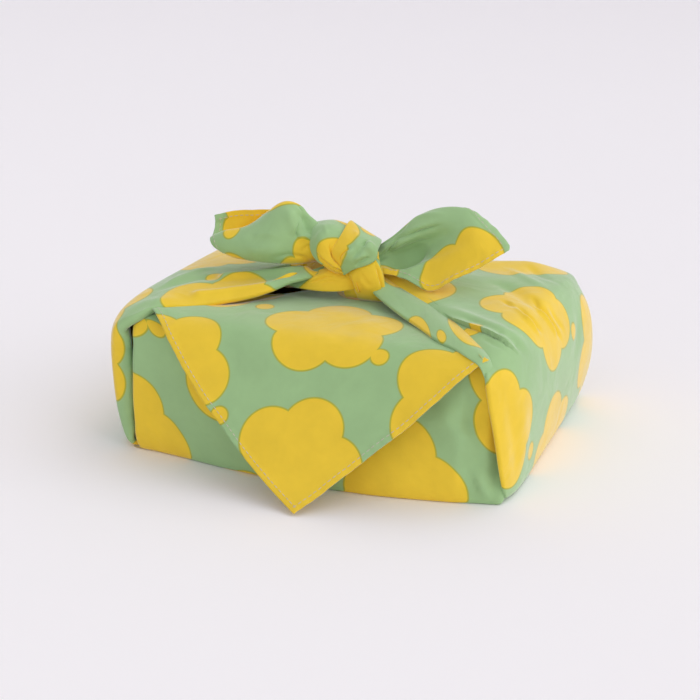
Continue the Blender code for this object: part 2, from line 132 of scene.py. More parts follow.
# Folded strip, right front corner to knot: lower edge, middle, upper edge.
STRIP = [
    ((81.8, -72.0, 55.5), (83.2, -70.6, 56.6), (84.2, -68.4, 56.6)),
    ((80.2, -74.0, 61.1), (81.2, -70.8, 62.9), (82.2, -66.6, 62.0)),
    ((77.2, -72.6, 62.9), (77.6, -67.6, 65.0), (78.2, -62.2, 64.2)),
    ((73.6, -70.9, 64.2), (73.6, -64.2, 66.2), (73.8, -57.4, 65.3)),
    ((66.5, -66.2, 65.6), (65.6, -56.9, 67.9), (64.8, -47.6, 67.2)),
    ((58.3, -61.3, 66.4), (56.5, -48.5, 69.0), (54.7, -35.7, 68.2)),
    ((48.5, -51.9, 66.9), (46.1, -37.3, 69.9), (43.6, -22.6, 69.4)),
    ((38.3, -42.1, 67.8), (34.9, -25.5, 70.9), (31.5, -9.0, 70.6)),
    ((27.3, -33.1, 69.4), (24.3, -19.2, 72.6), (21.4, -5.3, 72.4)),
    ((16.5, -23.0, 71.2), (16.6, -14.0, 74.6), (17.0, -4.0, 74.0)),
    ((7.0, -14.0, 73.6), (9.0, -9.0, 76.8), (11.0, 0.0, 75.5)),
]

# Section of the hanging corner: distance past the front edge, y, z.
FLAP_SECTION = [
    (-80.0, -115.2, 0.5),
    (-60.0, -103.6, 15.0),
    (-40.0, -92.6, 32.0),
    (-20.0, -82.0, 48.9),
    (-8.0, -75.6, 59.0),
    (0.0, -69.8, 63.5),
    (8.0, -62.5, 65.0),
    (20.0, -50.6, 65.3),
    (40.0, -30.7, 65.0),
    (60.0, -10.7, 64.6),
    (80.0, 9.3, 63.6),
    (95.0, 24.2, 63.5),
]
# Its two free hems from the tip: across, and distance past the front edge.
FLAP_RIGHT_HEM = [
    (12.6, -79.6), (21.3, -69.4), (32.3, -57.0), (43.5, -45.5), (51.0, -38.0), (58.3, -29.8),
    (65.3, -21.2), (72.5, -12.7), (79.4, -4.0), (82.5, -0.5),
]
FLAP_LEFT_HEM = [
    (12.6, -79.6), (4.0, -73.4), (-6.5, -65.0), (-18.5, -55.0), (-30.3, -44.5), (-42.3, -33.7),
    (-55.0, -19.8), (-64.5, -8.5), (-75.8, 5.5), (-80.5, 10.5),
]

# Cloth that comes up the back and over the top, floor to knot: y, z.
BACK_SECTION = [
    (60.0, 0.2),
    (68.5, 1.0),
    (72.2, 6.0),
    (72.6, 20.0),
    (71.8, 40.0),
    (70.6, 54.0),
    (68.0, 61.6),
    (61.0, 64.6),
    (46.0, 65.0),
    (20.0, 65.0),
    (-6.0, 64.6),
]

# Left tail, tip to knot: back hem, valley, behind ridge, ridge, front, lower fold, lip.
LEFT_TAIL = [
    ((-72.5, -5.0, 96.0), (-71.5, -8.0, 91.0), (-70.5, -12.5, 88.0), (-69.0, -17.0, 88.5),
     (-67.0, -20.0, 86.5), (-63.5, -19.0, 84.2), (-61.5, -14.5, 83.6)),
    ((-66.0, -2.0, 98.0), (-66.0, -5.0, 88.0), (-64.0, -10.5, 88.5), (-62.5, -17.0, 92.2),
     (-60.5, -22.0, 88.0), (-58.0, -21.0, 82.0), (-55.5, -14.0, 81.0)),
    ((-56.0, 1.0, 99.0), (-56.0, -1.0, 87.0), (-54.5, -8.0, 88.5), (-53.0, -15.0, 94.5),
     (-52.0, -23.0, 89.0), (-50.0, -22.0, 81.3), (-48.0, -14.0, 80.0)),
    ((-46.0, 3.0, 99.5), (-45.0, 2.0, 88.0), (-43.5, -5.0, 91.5), (-42.0, -12.0, 102.0),
     (-41.0, -22.0, 93.0), (-40.0, -22.0, 81.5), (-38.0, -13.0, 79.0)),
    ((-37.0, 5.0, 98.5), (-36.5, 3.5, 88.5), (-35.5, -3.5, 93.0), (-34.5, -9.5, 107.0),
     (-32.0, -20.0, 97.0), (-31.0, -20.0, 82.0), (-30.0, -11.0, 78.6)),
    ((-29.0, 6.0, 97.0), (-28.5, 4.5, 88.5), (-28.0, -2.0, 92.5), (-27.0, -8.5, 105.5),
     (-26.0, -17.0, 96.0), (-24.5, -17.0, 82.0), (-24.0, -8.5, 78.6)),
    ((-20.5, 5.0, 93.0), (-20.0, 3.5, 87.0), (-19.5, -2.0, 90.0), (-18.5, -7.0, 97.5),
     (-17.5, -13.5, 92.0), (-17.0, -13.5, 83.5), (-17.0, -5.5, 79.5)),
    ((-11.0, 3.0, 91.0), (-11.0, 2.0, 86.5), (-10.5, -2.5, 88.5), (-10.0, -6.5, 93.0),
     (-10.0, -11.5, 89.5), (-10.0, -11.5, 84.0), (-10.5, -4.5, 81.0)),
]

# Right tail, knot to tip: back, top ridge, inner fold, hollow, lower leaf, hem.
RIGHT_TAIL = [
    ((7.5, 3.0, 80.0), (8.0, 0.0, 87.0), (9.0, -3.5, 86.0), (9.0, -6.5, 83.0),
     (9.5, -9.0, 80.0), (9.5, -11.5, 76.5)),
    ((17.0, 6.5, 85.5), (16.5, 1.5, 93.5), (19.0, -3.5, 90.5), (20.5, 0.5, 86.0),
     (22.0, -4.5, 81.5), (20.0, -12.5, 77.5)),
    ((25.0, 9.5, 90.0), (23.5, 3.5, 100.0), (27.5, -3.0, 96.5), (31.0, 1.5, 90.5),
     (32.0, -6.0, 83.5), (29.5, -15.5, 76.5)),
    ((34.0, 10.5, 95.0), (33.0, 5.0, 105.6), (37.0, -1.5, 101.5), (40.0, 0.0, 95.5),
     (42.0, -8.0, 86.0), (39.7, -18.0, 74.0)),
    ((45.0, 10.0, 101.0), (44.0, 5.5, 107.6), (46.5, 0.0, 103.5), (49.0, -3.0, 97.0),
     (50.0, -9.5, 88.0), (49.0, -18.0, 79.0)),
    ((54.2, 7.0, 104.0), (53.8, 4.0, 105.8), (54.5, -0.5, 102.5), (56.5, -5.0, 97.0),
     (58.0, -9.5, 90.0), (58.0, -14.5, 83.7)),
    ((62.2, 3.2, 100.8), (62.8, 1.2, 100.0), (63.4, -1.5, 98.0), (64.0, -4.0, 95.3),
     (64.8, -7.0, 91.8), (65.3, -10.0, 88.2)),
    ((71.4, -1.2, 93.6), (71.5, -1.5, 93.3), (71.6, -1.8, 92.9), (71.6, -2.2, 92.5),
     (71.6, -2.6, 92.1), (71.5, -3.0, 91.8)),
]

# Wraps of the knot, up the back, over and down the front: left edge, middle, right edge.
WRAP_LEFT = [
    ((-17.0, 5.0, 75.0), (-12.0, 7.0, 75.5), (-7.0, 5.0, 76.0)),
    ((-20.0, 8.5, 84.0), (-14.5, 11.0, 84.5), (-8.5, 8.5, 85.0)),
    ((-20.9, 6.5, 91.5), (-15.0, 8.0, 92.8), (-9.0, 6.0, 92.5)),
    ((-20.9, 1.0, 96.3), (-13.0, 0.0, 98.1), (-4.0, 1.0, 95.5)),
    ((-20.1, -5.0, 97.6), (-11.9, -8.5, 99.1), (-2.6, -5.5, 95.6)),
    ((-19.5, -11.0, 96.2), (-11.4, -14.5, 98.0), (-2.2, -11.0, 94.2)),
    ((-19.5, -15.0, 92.0), (-11.9, -18.7, 94.2), (-3.4, -15.0, 91.2)),
    ((-18.5, -17.5, 87.9), (-12.1, -20.6, 90.3), (-4.4, -17.6, 88.2)),
    ((-15.9, -18.5, 84.0), (-10.7, -21.1, 86.4), (-4.2, -18.6, 84.8)),
    ((-11.7, -19.0, 81.3), (-7.8, -21.2, 83.2), (-2.8, -19.2, 81.6)),
    ((-7.4, -18.5, 78.3), (-4.8, -20.3, 80.0), (-1.6, -18.8, 79.4)),
    ((-2.6, -16.0, 75.2), (-1.5, -16.9, 76.9), (-1.1, -16.0, 77.8)),
]
WRAP_MIDDLE = [
    ((-5.0, 4.0, 74.0), (1.0, 7.0, 74.0), (7.5, 4.0, 74.0)),
    ((-6.5, 8.0, 84.0), (0.5, 11.0, 83.5), (7.5, 8.0, 82.0)),
    ((-5.8, 5.0, 94.0), (0.1, 5.5, 92.0), (6.8, 5.0, 88.5)),
    ((-4.6, 0.0, 98.5), (2.6, -2.0, 95.4), (9.9, -1.0, 91.3)),
    ((-4.0, -9.0, 97.9), (4.8, -11.8, 95.4), (12.1, -9.0, 91.4)),
    ((-4.4, -15.0, 95.0), (5.7, -18.4, 93.8), (13.3, -15.0, 89.9)),
    ((-6.2, -18.5, 90.8), (4.6, -21.5, 90.0), (13.0, -18.0, 86.3)),
    ((-6.8, -20.0, 88.3), (2.6, -22.4, 87.2), (10.1, -19.8, 84.0)),
    ((-6.2, -20.5, 85.6), (0.9, -22.3, 85.1), (6.8, -20.8, 82.8)),
    ((-4.3, -20.5, 82.5), (-0.4, -21.8, 82.2), (2.7, -21.0, 80.9)),
    ((-2.1, -19.5, 78.4), (-1.5, -20.2, 78.2), (-0.9, -20.0, 78.0)),
]
WRAP_FRONT = [
    ((-1.5, -6.0, 84.0), (4.0, -8.0, 86.0), (8.5, -6.0, 86.5)),
    ((-0.7, -13.0, 82.6), (4.7, -14.5, 84.9), (9.5, -13.0, 86.4)),
    ((0.2, -17.5, 80.2), (6.6, -18.8, 83.2), (12.6, -16.5, 85.0)),
    ((2.0, -19.0, 76.0), (9.3, -21.1, 79.0), (15.6, -18.0, 79.8)),
    ((4.1, -19.5, 72.1), (11.3, -21.6, 74.0), (17.2, -18.5, 73.8)),
    ((4.8, -18.0, 68.2), (11.7, -19.7, 69.7), (17.8, -17.0, 69.5)),
    ((4.6, -14.0, 64.9), (11.2, -14.8, 65.2), (17.8, -14.0, 65.2)),
    ((3.0, -7.0, 64.4), (9.0, -7.0, 64.4), (15.2, -7.0, 64.6)),
    ((2.0, 2.0, 67.0), (8.0, 3.0, 67.0), (14.0, 2.0, 67.0)),
    ((0.0, 6.0, 76.0), (6.0, 7.5, 76.0), (12.0, 6.0, 76.0)),
]
WRAP_SIDE = [
    ((-2.3, -12.0, 81.5), (-0.7, -12.8, 81.8), (1.6, -12.0, 81.8)),
    ((-2.6, -16.0, 77.3), (-0.8, -17.2, 78.3), (2.0, -15.0, 78.0)),
    ((-2.7, -16.5, 73.1), (0.4, -18.0, 74.4), (5.0, -16.0, 74.0)),
    ((-2.6, -16.0, 69.0), (1.1, -17.5, 70.2), (6.0, -15.5, 70.0)),
    ((-2.2, -13.0, 65.0), (1.3, -13.8, 65.4), (7.0, -13.0, 65.2)),
    ((-2.4, -7.0, 64.6), (0.6, -7.0, 64.6), (6.0, -7.0, 64.6)),
]
WRAP_UNDER = [
    ((-30.0, -19.0, 70.9), (-28.5, -18.0, 72.4), (-27.0, -14.5, 73.4)),
    ((-21.0, -22.0, 70.5), (-19.5, -21.0, 73.6), (-18.0, -16.5, 76.6)),
    ((-11.0, -22.8, 70.6), (-10.5, -21.4, 75.0), (-10.0, -17.0, 79.4)),
    ((-2.0, -21.0, 71.0), (-2.0, -19.8, 75.0), (-2.5, -16.0, 79.0)),
    ((5.0, -17.0, 71.6), (5.0, -16.0, 75.0), (4.0, -12.0, 78.0)),
]
WRAP_RIGHT = [
    ((9.2, -9.0, 87.4), (10.6, -10.0, 87.8), (11.6, -9.0, 87.4)),
    ((10.6, -13.0, 85.6), (12.2, -14.2, 86.2), (13.3, -13.0, 85.6)),
    ((12.4, -15.5, 82.4), (14.0, -16.8, 83.0), (15.2, -15.5, 82.4)),
    ((14.0, -16.5, 78.0), (15.6, -17.8, 78.6), (16.9, -16.5, 78.0)),
    ((15.5, -16.5, 72.5), (16.9, -17.8, 73.0), (18.0, -16.5, 72.5)),
    ((16.5, -15.0, 67.9), (17.7, -15.9, 68.2), (18.6, -15.0, 67.9)),
    ((16.6, -12.0, 64.9), (17.6, -12.3, 64.9), (18.4, -12.0, 64.9)),
]


# Folds pressed into each sheet, coarse ones first: kind, height, half width, faded ends, line.
FOLDS = {
    "parcel_cloth": [
        [
            ("ridge", 2.6, 6.5, "both", [(61.5, -72.3, 44.7), (66.0, -73.7, 37.6), (71.2, -74.7, 30.7),
             (76.0, -73.3, 25.0), (82.1, -71.6, 21.6)]),
            ("ridge", -2.2, 5.0, "both", [(82.0, -72.0, 46.0), (79.5, -73.0, 40.0), (76.5, -73.5, 36.0),
             (72.0, -74.0, 30.0)]),
            ("ridge", 1.0, 3.0, "both", [(77.0, -74.0, 20.0), (81.0, -75.0, 12.0), (84.5, -75.5, 5.0),
             (88.5, -75.0, 0.8)]),
            ("lap", 0.9, 6.0, "both", [(76.9, -75.2, 13.9), (80.8, -75.6, 7.8), (83.1, -72.8, 1.3)]),
            ("ridge", -0.6, 9.0, "both", [(-76.4, -70.0, 43.7), (-72.3, -71.7, 25.4),
             (-71.4, -73.0, 6.4)]),
            ("ridge", 0.5, 8.0, "both", [(-57.5, -72.7, 28.0), (-54.7, -74.2, 16.9),
             (-55.7, -74.9, 5.0)]),
            ("ridge", 0.6, 8.0, "both", [(25.8, -83.3, 5.8), (36.7, -81.9, 10.5), (47.3, -79.8, 15.9)]),
            ("ridge", -0.6, 7.0, "both", [(46.2, -77.8, 25.0), (56.0, -79.6, 13.2),
             (60.5, -78.9, 2.1)]),
        ],
    ],
    "right_end": [
        [
            ("ridge", 4.0, 10.0, "both", [(28.0, 30.0, 72.5), (45.0, 44.0, 70.5), (62.0, 53.0, 68.5),
             (76.0, 59.0, 67.0), (86.0, 63.0, 64.0)]),
            ("ridge", 1.8, 5.0, "both", [(40.4, -25.0, 70.5), (51.0, -30.5, 70.2), (61.8, -36.0, 69.2),
             (72.7, -42.2, 68.7), (82.1, -46.1, 67.1), (89.1, -42.0, 61.9), (93.3, -32.1, 54.3)]),
            ("ridge", -1.8, 4.5, "both", [(55.3, 6.8, 72.8), (64.7, 10.8, 71.7), (71.8, 6.9, 71.2),
             (80.7, -2.7, 70.6), (88.0, -8.6, 67.3), (92.4, -7.5, 60.8)]),
            ("ridge", -0.7, 5.0, "both", [(94.5, 38.4, 59.7), (98.7, 28.9, 47.9), (98.7, 19.4, 33.4)]),
            ("ridge", 0.8, 6.0, "both", [(92.0, -55.6, 41.6), (93.5, -54.1, 22.9), (93.0, -62.0, 9.6)]),
            ("ridge", -0.8, 4.0, "both", [(86.4, -63.7, 54.9), (89.9, -64.8, 35.3), (92.0, -63.6, 16.8),
             (92.2, -64.6, 2.9)]),
        ],
        [
            ("ridge", -3.4, 2.3, "both", [(51.1, -32.3, 69.6), (58.2, -36.3, 69.0), (64.7, -39.7, 68.6),
             (72.2, -43.5, 68.4), (80.7, -47.5, 67.2), (87.7, -46.5, 62.7), (91.8, -40.7, 56.2)]),
            ("lap", 2.4, 5.0, "both", [(49.8, -32.5, 69.4), (57.1, -38.6, 68.2), (65.3, -43.4, 67.7),
             (73.1, -47.6, 67.6), (79.7, -50.6, 66.7), (84.7, -51.4, 64.4), (88.2, -49.9, 60.9),
             (90.2, -48.0, 57.5)]),
        ],
        [
            ("ridge", 1.7, 1.5, "both", [(72.3, -7.5, 70.9), (80.5, -17.9, 70.2), (86.4, -24.0, 67.5),
             (90.2, -23.8, 63.3), (93.0, -20.1, 58.1)]),
            ("ridge", -1.7, 1.7, "both", [(69.1, -8.8, 71.0), (77.9, -15.2, 70.5), (85.2, -20.9, 68.5),
             (89.9, -20.3, 64.1), (93.0, -16.9, 58.4)]),
            ("ridge", -1.8, 1.6, "both", [(79.3, 5.6, 70.9), (87.0, -4.0, 68.4), (91.8, -3.5, 62.4),
             (95.1, -0.2, 55.3), (97.0, 4.5, 48.5)]),
            ("ridge", 1.3, 1.5, "both", [(84.1, -4.1, 69.8), (89.1, -7.4, 66.2), (92.8, -5.5, 60.2),
             (96.0, -0.4, 52.1)]),
            ("ridge", -0.7, 1.6, "both", [(88.9, 1.3, 67.1), (93.3, 3.6, 60.0), (96.6, 8.9, 51.9)]),
            ("ridge", 1.1, 3.0, "both", [(53.3, 40.0, 69.8), (63.0, 36.9, 70.3), (76.4, 23.0, 71.1),
             (88.0, 12.8, 68.6)]),
            ("ridge", -1.0, 2.6, "both", [(56.8, 43.7, 69.2), (65.7, 50.7, 68.1), (80.0, 34.1, 70.5),
             (91.1, 26.4, 65.9)]),
            ("ridge", -0.6, 1.5, "both", [(73.0, -51.6, 66.5), (80.1, -55.2, 65.3),
             (86.0, -54.6, 62.0)]),
        ],
    ],
    "left_end": [
        [
            ("ridge", 2.6, 3.6, "end", [(-61.9, -45.6, 68.8), (-47.5, -37.8, 70.0),
             (-34.6, -32.6, 71.8), (-24.4, -27.4, 74.0), (-16.6, -15.6, 78.8)]),
            ("ridge", -5.0, 2.4, "start", [(-50.3, -16.4, 72.9), (-41.2, -11.7, 74.1),
             (-34.5, -6.1, 75.2), (-30.8, 2.5, 75.8), (-16.1, -14.4, 79.2)]),
            ("ridge", 2.6, 3.2, "end", [(-59.0, -23.9, 72.0), (-45.4, -19.6, 73.2),
             (-31.0, -17.0, 75.4), (-15.5, -14.3, 79.3)]),
            ("ridge", 1.4, 3.0, "both", [(-83.8, -43.8, 68.8), (-80.6, -27.5, 70.5),
             (-75.5, -16.3, 71.4), (-68.5, -6.8, 72.0)]),
            ("ridge", -1.2, 3.5, "both", [(-86.1, -49.1, 67.8), (-80.3, -37.7, 70.0),
             (-70.5, -27.6, 71.7), (-54.4, -23.5, 72.2)]),
            ("ridge", 0.8, 4.0, "both", [(-87.5, -67.1, 63.8), (-83.4, -58.2, 66.8),
             (-74.6, -55.9, 68.1), (-65.3, -54.6, 66.9)]),
        ],
        [
            ("ridge", -1.8, 1.0, "start", [(-38.0, -6.2, 74.7), (-29.2, -5.3, 76.3),
             (-23.0, -0.2, 77.5)]),
            ("ridge", 0.6, 1.2, "both", [(-84.7, -37.4, 69.2), (-81.4, -17.5, 70.4),
             (-73.8, -5.7, 71.5)]),
        ],
    ],
    "front_flap": [
        [
            ("ridge", -2.4, 5.0, "both", [(-59.6, -52.7, 66.2), (-52.2, -42.8, 66.0),
             (-45.9, -31.1, 65.8), (-38.5, -18.9, 65.5), (-31.4, -5.5, 65.0), (-22.1, 5.8, 64.3),
             (-8.9, 8.0, 64.0)]),
            ("ridge", 1.2, 9.0, "both", [(-6.9, -29.2, 65.3), (7.1, -40.3, 65.4), (24.3, -52.4, 65.4),
             (35.9, -55.1, 65.2)]),
            ("ridge", 0.6, 10.0, "both", [(-28.2, -70.9, 63.5), (-15.5, -78.2, 56.0),
             (-2.6, -81.2, 50.9)]),
            ("ridge", -0.6, 9.0, "both", [(-46.0, -69.5, 64.3), (-35.1, -78.1, 56.3),
             (-20.9, -83.5, 46.8)]),
            ("ridge", 0.6, 9.0, "both", [(-16.4, -93.6, 31.3), (-3.2, -97.3, 25.3),
             (6.2, -103.6, 15.4)]),
            ("ridge", -0.5, 8.0, "both", [(21.6, -79.2, 54.4), (33.8, -81.7, 50.0),
             (43.8, -84.4, 45.4)]),
        ],
    ],
    "left_tail": [
        [
            ("ridge", -3.4, 3.4, "both", [(-26.3, -10.9, 105.1), (-23.0, -11.6, 101.1),
             (-20.9, -13.0, 97.1), (-21.4, -15.8, 92.6)]),
            ("ridge", 1.6, 2.6, "both", [(-33.0, -14.1, 105.7), (-29.4, -15.9, 102.6),
             (-27.0, -17.3, 97.8), (-26.4, -18.8, 92.8)]),
            ("ridge", 1.0, 3.0, "both", [(-62.0, -18.9, 92.1), (-62.9, -2.1, 90.1), (-55.6, 0.8, 94.8),
             (-39.8, -15.4, 102.5)]),
            ("ridge", 1.2, 3.0, "both", [(-50.5, -24.1, 87.1), (-39.7, -23.8, 86.9),
             (-29.7, -21.3, 87.7)]),
        ],
        [
            ("ridge", -1.5, 0.8, "both", [(-24.2, -13.7, 100.2), (-25.0, -16.2, 97.2),
             (-25.3, -17.5, 94.5), (-24.3, -17.8, 91.2)]),
            ("ridge", 1.0, 1.2, "both", [(-25.0, -18.3, 90.9), (-22.7, -16.6, 92.5),
             (-20.4, -15.0, 93.2), (-17.9, -13.6, 93.0)]),
            ("ridge", -1.4, 0.9, "both", [(-29.1, -10.0, 107.0), (-25.7, -10.3, 104.9),
             (-22.6, -10.8, 101.3), (-19.4, -10.2, 98.1)]),
            ("ridge", -1.0, 1.0, "both", [(-23.5, -17.9, 85.8), (-20.6, -16.4, 88.7),
             (-17.4, -14.6, 90.2)]),
            ("ridge", -0.9, 1.2, "both", [(-36.7, -22.9, 83.7), (-28.5, -20.4, 84.9),
             (-22.4, -16.9, 83.6), (-19.6, -8.8, 79.4)]),
            ("ridge", 0.5, 1.5, "both", [(-46.6, -21.9, 92.4), (-39.1, -21.8, 94.6),
             (-31.9, -21.5, 93.8)]),
        ],
    ],
    "right_tail": [
        [
            ("ridge", -3.6, 4.2, "both", [(12.1, -5.7, 82.4), (17.5, -5.7, 81.2), (23.6, -4.3, 82.1),
             (28.2, -1.3, 85.0), (34.3, -0.0, 89.2)]),
            ("ridge", 1.8, 2.4, "end", [(13.5, -10.0, 79.1), (20.9, -10.6, 79.0), (28.3, -10.6, 80.3),
             (34.8, -8.4, 83.4), (41.8, -7.5, 86.9)]),
            ("ridge", 1.0, 4.0, "both", [(33.7, -13.5, 79.1), (42.0, -9.4, 85.0), (51.8, -7.8, 91.3),
             (58.8, -5.1, 96.9)]),
        ],
        [
            ("ridge", -2.0, 1.1, "end", [(11.0, -5.2, 83.9), (14.4, -3.7, 86.5), (18.8, -3.0, 92.7),
             (26.7, -3.3, 96.5), (34.9, -2.3, 99.2), (42.9, -1.2, 102.0)]),
            ("ridge", 1.2, 1.3, "end", [(10.6, -4.9, 84.9), (15.6, -3.6, 89.4), (21.8, -3.3, 94.2),
             (28.7, -2.9, 98.5), (37.1, -1.6, 102.1)]),
            ("ridge", -1.8, 0.9, "end", [(11.6, -5.6, 82.7), (16.3, -2.1, 85.5), (22.0, -0.5, 87.8),
             (28.9, 0.0, 91.3), (36.1, 0.5, 93.9)]),
            ("ridge", 0.9, 1.0, "end", [(11.7, -5.7, 82.6), (16.5, -3.6, 87.8), (22.7, -3.5, 92.1),
             (29.6, -2.6, 95.4)]),
            ("ridge", -1.0, 0.9, "end", [(9.0, -1.0, 88.1), (13.6, -1.1, 91.0), (19.0, -0.1, 95.5),
             (23.9, 1.4, 100.2)]),
            ("ridge", 0.6, 1.4, "both", [(20.5, 0.6, 97.1), (26.1, 2.2, 102.0), (34.2, 1.1, 104.8),
             (42.8, 0.9, 105.3)]),
            ("ridge", -0.6, 1.6, "both", [(25.9, -3.4, 94.5), (34.2, -2.2, 98.2), (41.4, -1.3, 99.1)]),
        ],
    ],
    "knot_left": [
        [
            ("ridge", 0.8, 3.0, "both", [(-14.9, -14.6, 97.0), (-12.2, -19.4, 93.1),
             (-9.7, -20.5, 88.1)]),
        ],
        [
            ("lap", 0.9, 2.6, "end", [(-3.7, -19.7, 81.3), (-5.6, -20.2, 83.5), (-7.4, -20.0, 86.2),
             (-8.8, -19.5, 89.8), (-9.2, -18.9, 92.4)]),
            ("lap", 1.0, 2.6, "start", [(-15.0, -19.9, 88.5), (-12.3, -20.8, 86.4), (-9.4, -21.2, 84.4),
             (-6.5, -21.1, 82.5), (-3.5, -19.7, 80.6)]),
            ("lap", 0.8, 2.2, "start", [(-16.1, -18.9, 85.5), (-12.9, -19.6, 83.3), (-8.7, -20.4, 81.6),
             (-5.1, -20.5, 80.3), (-3.1, -19.3, 79.3)]),
            ("ridge", 0.5, 1.0, "both", [(-15.1, -9.8, 98.7), (-11.1, -16.5, 96.6),
             (-9.4, -18.6, 93.3)]),
        ],
    ],
    "knot_middle": [
        [
            ("ridge", 1.4, 2.6, "both", [(7.5, -15.7, 94.0), (10.0, -16.3, 92.3), (11.1, -17.8, 90.4),
             (10.4, -19.3, 88.8)]),
            ("ridge", -1.4, 1.6, "both", [(7.6, -14.2, 94.1), (7.2, -19.7, 91.9), (5.3, -21.7, 88.9),
             (2.3, -22.4, 86.0)]),
        ],
        [
            ("lap", 1.2, 3.2, "both", [(3.4, -20.3, 92.2), (1.9, -21.2, 90.5), (-0.2, -21.8, 88.7),
             (-1.5, -22.0, 86.7), (-2.1, -21.6, 83.5)]),
            ("ridge", -1.1, 0.6, "both", [(7.7, -13.3, 94.1), (7.6, -19.2, 92.3), (5.7, -21.4, 89.7)]),
            ("ridge", -1.2, 0.9, "both", [(4.1, -21.3, 82.4), (7.2, -21.2, 85.2), (10.3, -19.8, 86.8),
             (12.7, -18.0, 87.3)]),
            ("ridge", 0.7, 1.1, "both", [(4.2, -22.1, 85.5), (7.2, -21.3, 87.7), (9.8, -19.7, 88.9)]),
            ("ridge", 0.5, 1.2, "both", [(0.2, -9.2, 97.1), (3.7, -15.8, 95.3), (4.2, -19.5, 93.2)]),
        ],
    ],
    "knot_front": [
        [
            ("lap", 0.9, 3.0, "both", [(1.3, -18.5, 79.2), (2.8, -19.4, 76.4), (4.3, -19.7, 72.5),
             (4.6, -17.7, 67.9)]),
            ("lap", 0.9, 3.0, "both", [(16.9, -17.4, 69.2), (15.9, -19.2, 75.7), (14.0, -18.5, 80.9),
             (11.9, -16.7, 84.9)]),
            ("ridge", 0.6, 2.4, "both", [(5.4, -20.4, 78.3), (9.6, -21.7, 75.4), (11.0, -20.4, 70.7)]),
            ("ridge", -0.6, 1.2, "both", [(6.6, -20.4, 80.3), (10.0, -21.6, 76.6),
             (13.4, -20.9, 73.2)]),
        ],
    ],
    "knot_side": [],
    "knot_under": [
        [
            ("lap", 0.9, 2.6, "both", [(-19.1, -21.9, 72.2), (-14.4, -21.4, 74.7), (-10.0, -20.2, 76.6),
             (-4.1, -19.7, 76.2)]),
            ("ridge", -0.8, 0.9, "both", [(-13.3, -22.4, 72.5), (-8.6, -21.4, 74.8),
             (-2.9, -20.3, 74.6)]),
        ],
    ],
    "knot_right": [],
}


FADE = 0.35             # share of a fold's line over which a faded end dies away
LAP_GROOVE = 0.7        # depth of the groove beside a lap, as a share of its height
HEM_RISE = 0.30         # how far the doubled cloth of a hem stands up
PUCKER = 0.16           # height of the small puckers along its stitches
RIPPLE = 0.30           # height of the longer waves along it

# ---- cloth geometry, all in millimetres until a piece is laid ----


def unit(vectors):
    """Vectors scaled to length one."""
    size = np.linalg.norm(vectors, axis=-1, keepdims=True)
    return vectors / np.maximum(size, 1e-9)


def smooth(rows, count):
    """Rows of a table joined by a natural cubic curve and read at even distances."""
    rows = np.asarray(rows, float)
    table = rows.reshape(len(rows), -1)
    step = np.linalg.norm(np.diff(rows, axis=0).reshape(len(rows) - 1, -1, rows.shape[-1]), axis=-1)
    knots = np.concatenate([[0.0], np.cumsum(np.maximum(step.mean(axis=1), 1e-3))])
    gap = np.diff(knots)
    inner = len(rows) - 2
    bend = np.zeros_like(table)
    if inner > 0:
        system = np.zeros((inner, inner))
        for i in range(inner):
            system[i, i] = 2 * (gap[i] + gap[i + 1])
            if i:
                system[i, i - 1] = gap[i]
            if i < inner - 1:
                system[i, i + 1] = gap[i + 1]
        slope = np.diff(table, axis=0) / gap[:, None]
        bend[1:-1] = np.linalg.solve(system, 6 * np.diff(slope, axis=0))
    at = np.linspace(0, knots[-1], count)
    i = np.clip(np.searchsorted(knots, at, side="right") - 1, 0, len(gap) - 1)
    h = gap[i][:, None]
    left = (at - knots[i])[:, None]
    right = h - left
    out = (bend[i] * right ** 3 + bend[i + 1] * left ** 3) / (6 * h)
    out += (table[i] / h - bend[i] * h / 6) * right
    out += (table[i + 1] / h - bend[i + 1] * h / 6) * left
    return out.reshape((count,) + rows.shape[1:])


def patch(table, rows, columns):
    """Smooth grid of rows x columns points through a table of points."""
    grid = smooth(table, rows)
    return smooth(grid.transpose(1, 0, 2), columns).transpose(1, 0, 2)


def flat_place(points):
    """Place of each grid point on the flat cloth, from distances along the grid."""
    across = np.linalg.norm(np.diff(points, axis=1), axis=2)
    across = np.concatenate([np.zeros((len(points), 1)), np.cumsum(across, axis=1)], axis=1)
    middle = points.shape[1] // 2
    across -= across[:, middle:middle + 1]
    along = np.linalg.norm(np.diff(points[:, middle], axis=0), axis=1)
    along = np.concatenate([[0.0], np.cumsum(along)])
    return np.stack([across, np.broadcast_to(along[:, None], across.shape)], axis=-1)


def normals(points, toward):
    """Unit normals of a grid, on the side that faces away from the point `toward`."""
    out = unit(np.cross(np.gradient(points, axis=0), np.gradient(points, axis=1)))
    if np.sum(out * (points - np.asarray(toward, float))) < 0:
        out = -out
    return out


def line_distance(points, line, out):
    """Distance of every point to a line, its place along and side, and the direction across."""
    line = np.asarray(line, float)
    lengths = np.linalg.norm(np.diff(line, axis=0), axis=1)
    start = np.concatenate([[0.0], np.cumsum(lengths)])
    best = np.full(points.shape[:-1], 1e9)
    place = np.zeros(points.shape[:-1])
    side = np.zeros(points.shape[:-1])
    across = np.zeros(points.shape)
    for a, b, length, begin in zip(line[:-1], line[1:], lengths, start):
        t = np.clip(((points - a) @ (b - a)) / length ** 2, 0, 1)
        offset = points - a - t[..., None] * (b - a)
        away = np.linalg.norm(offset, axis=-1)
        nearer = away < best
        right = np.cross((b - a) / length, out)
        best = np.where(nearer, away, best)
        place = np.where(nearer, (begin + t * length) / start[-1], place)
        side = np.where(nearer, -np.sign(np.sum(right * offset, axis=-1)), side)
        across = np.where(nearer[..., None], right, across)
    return best, place, side, across


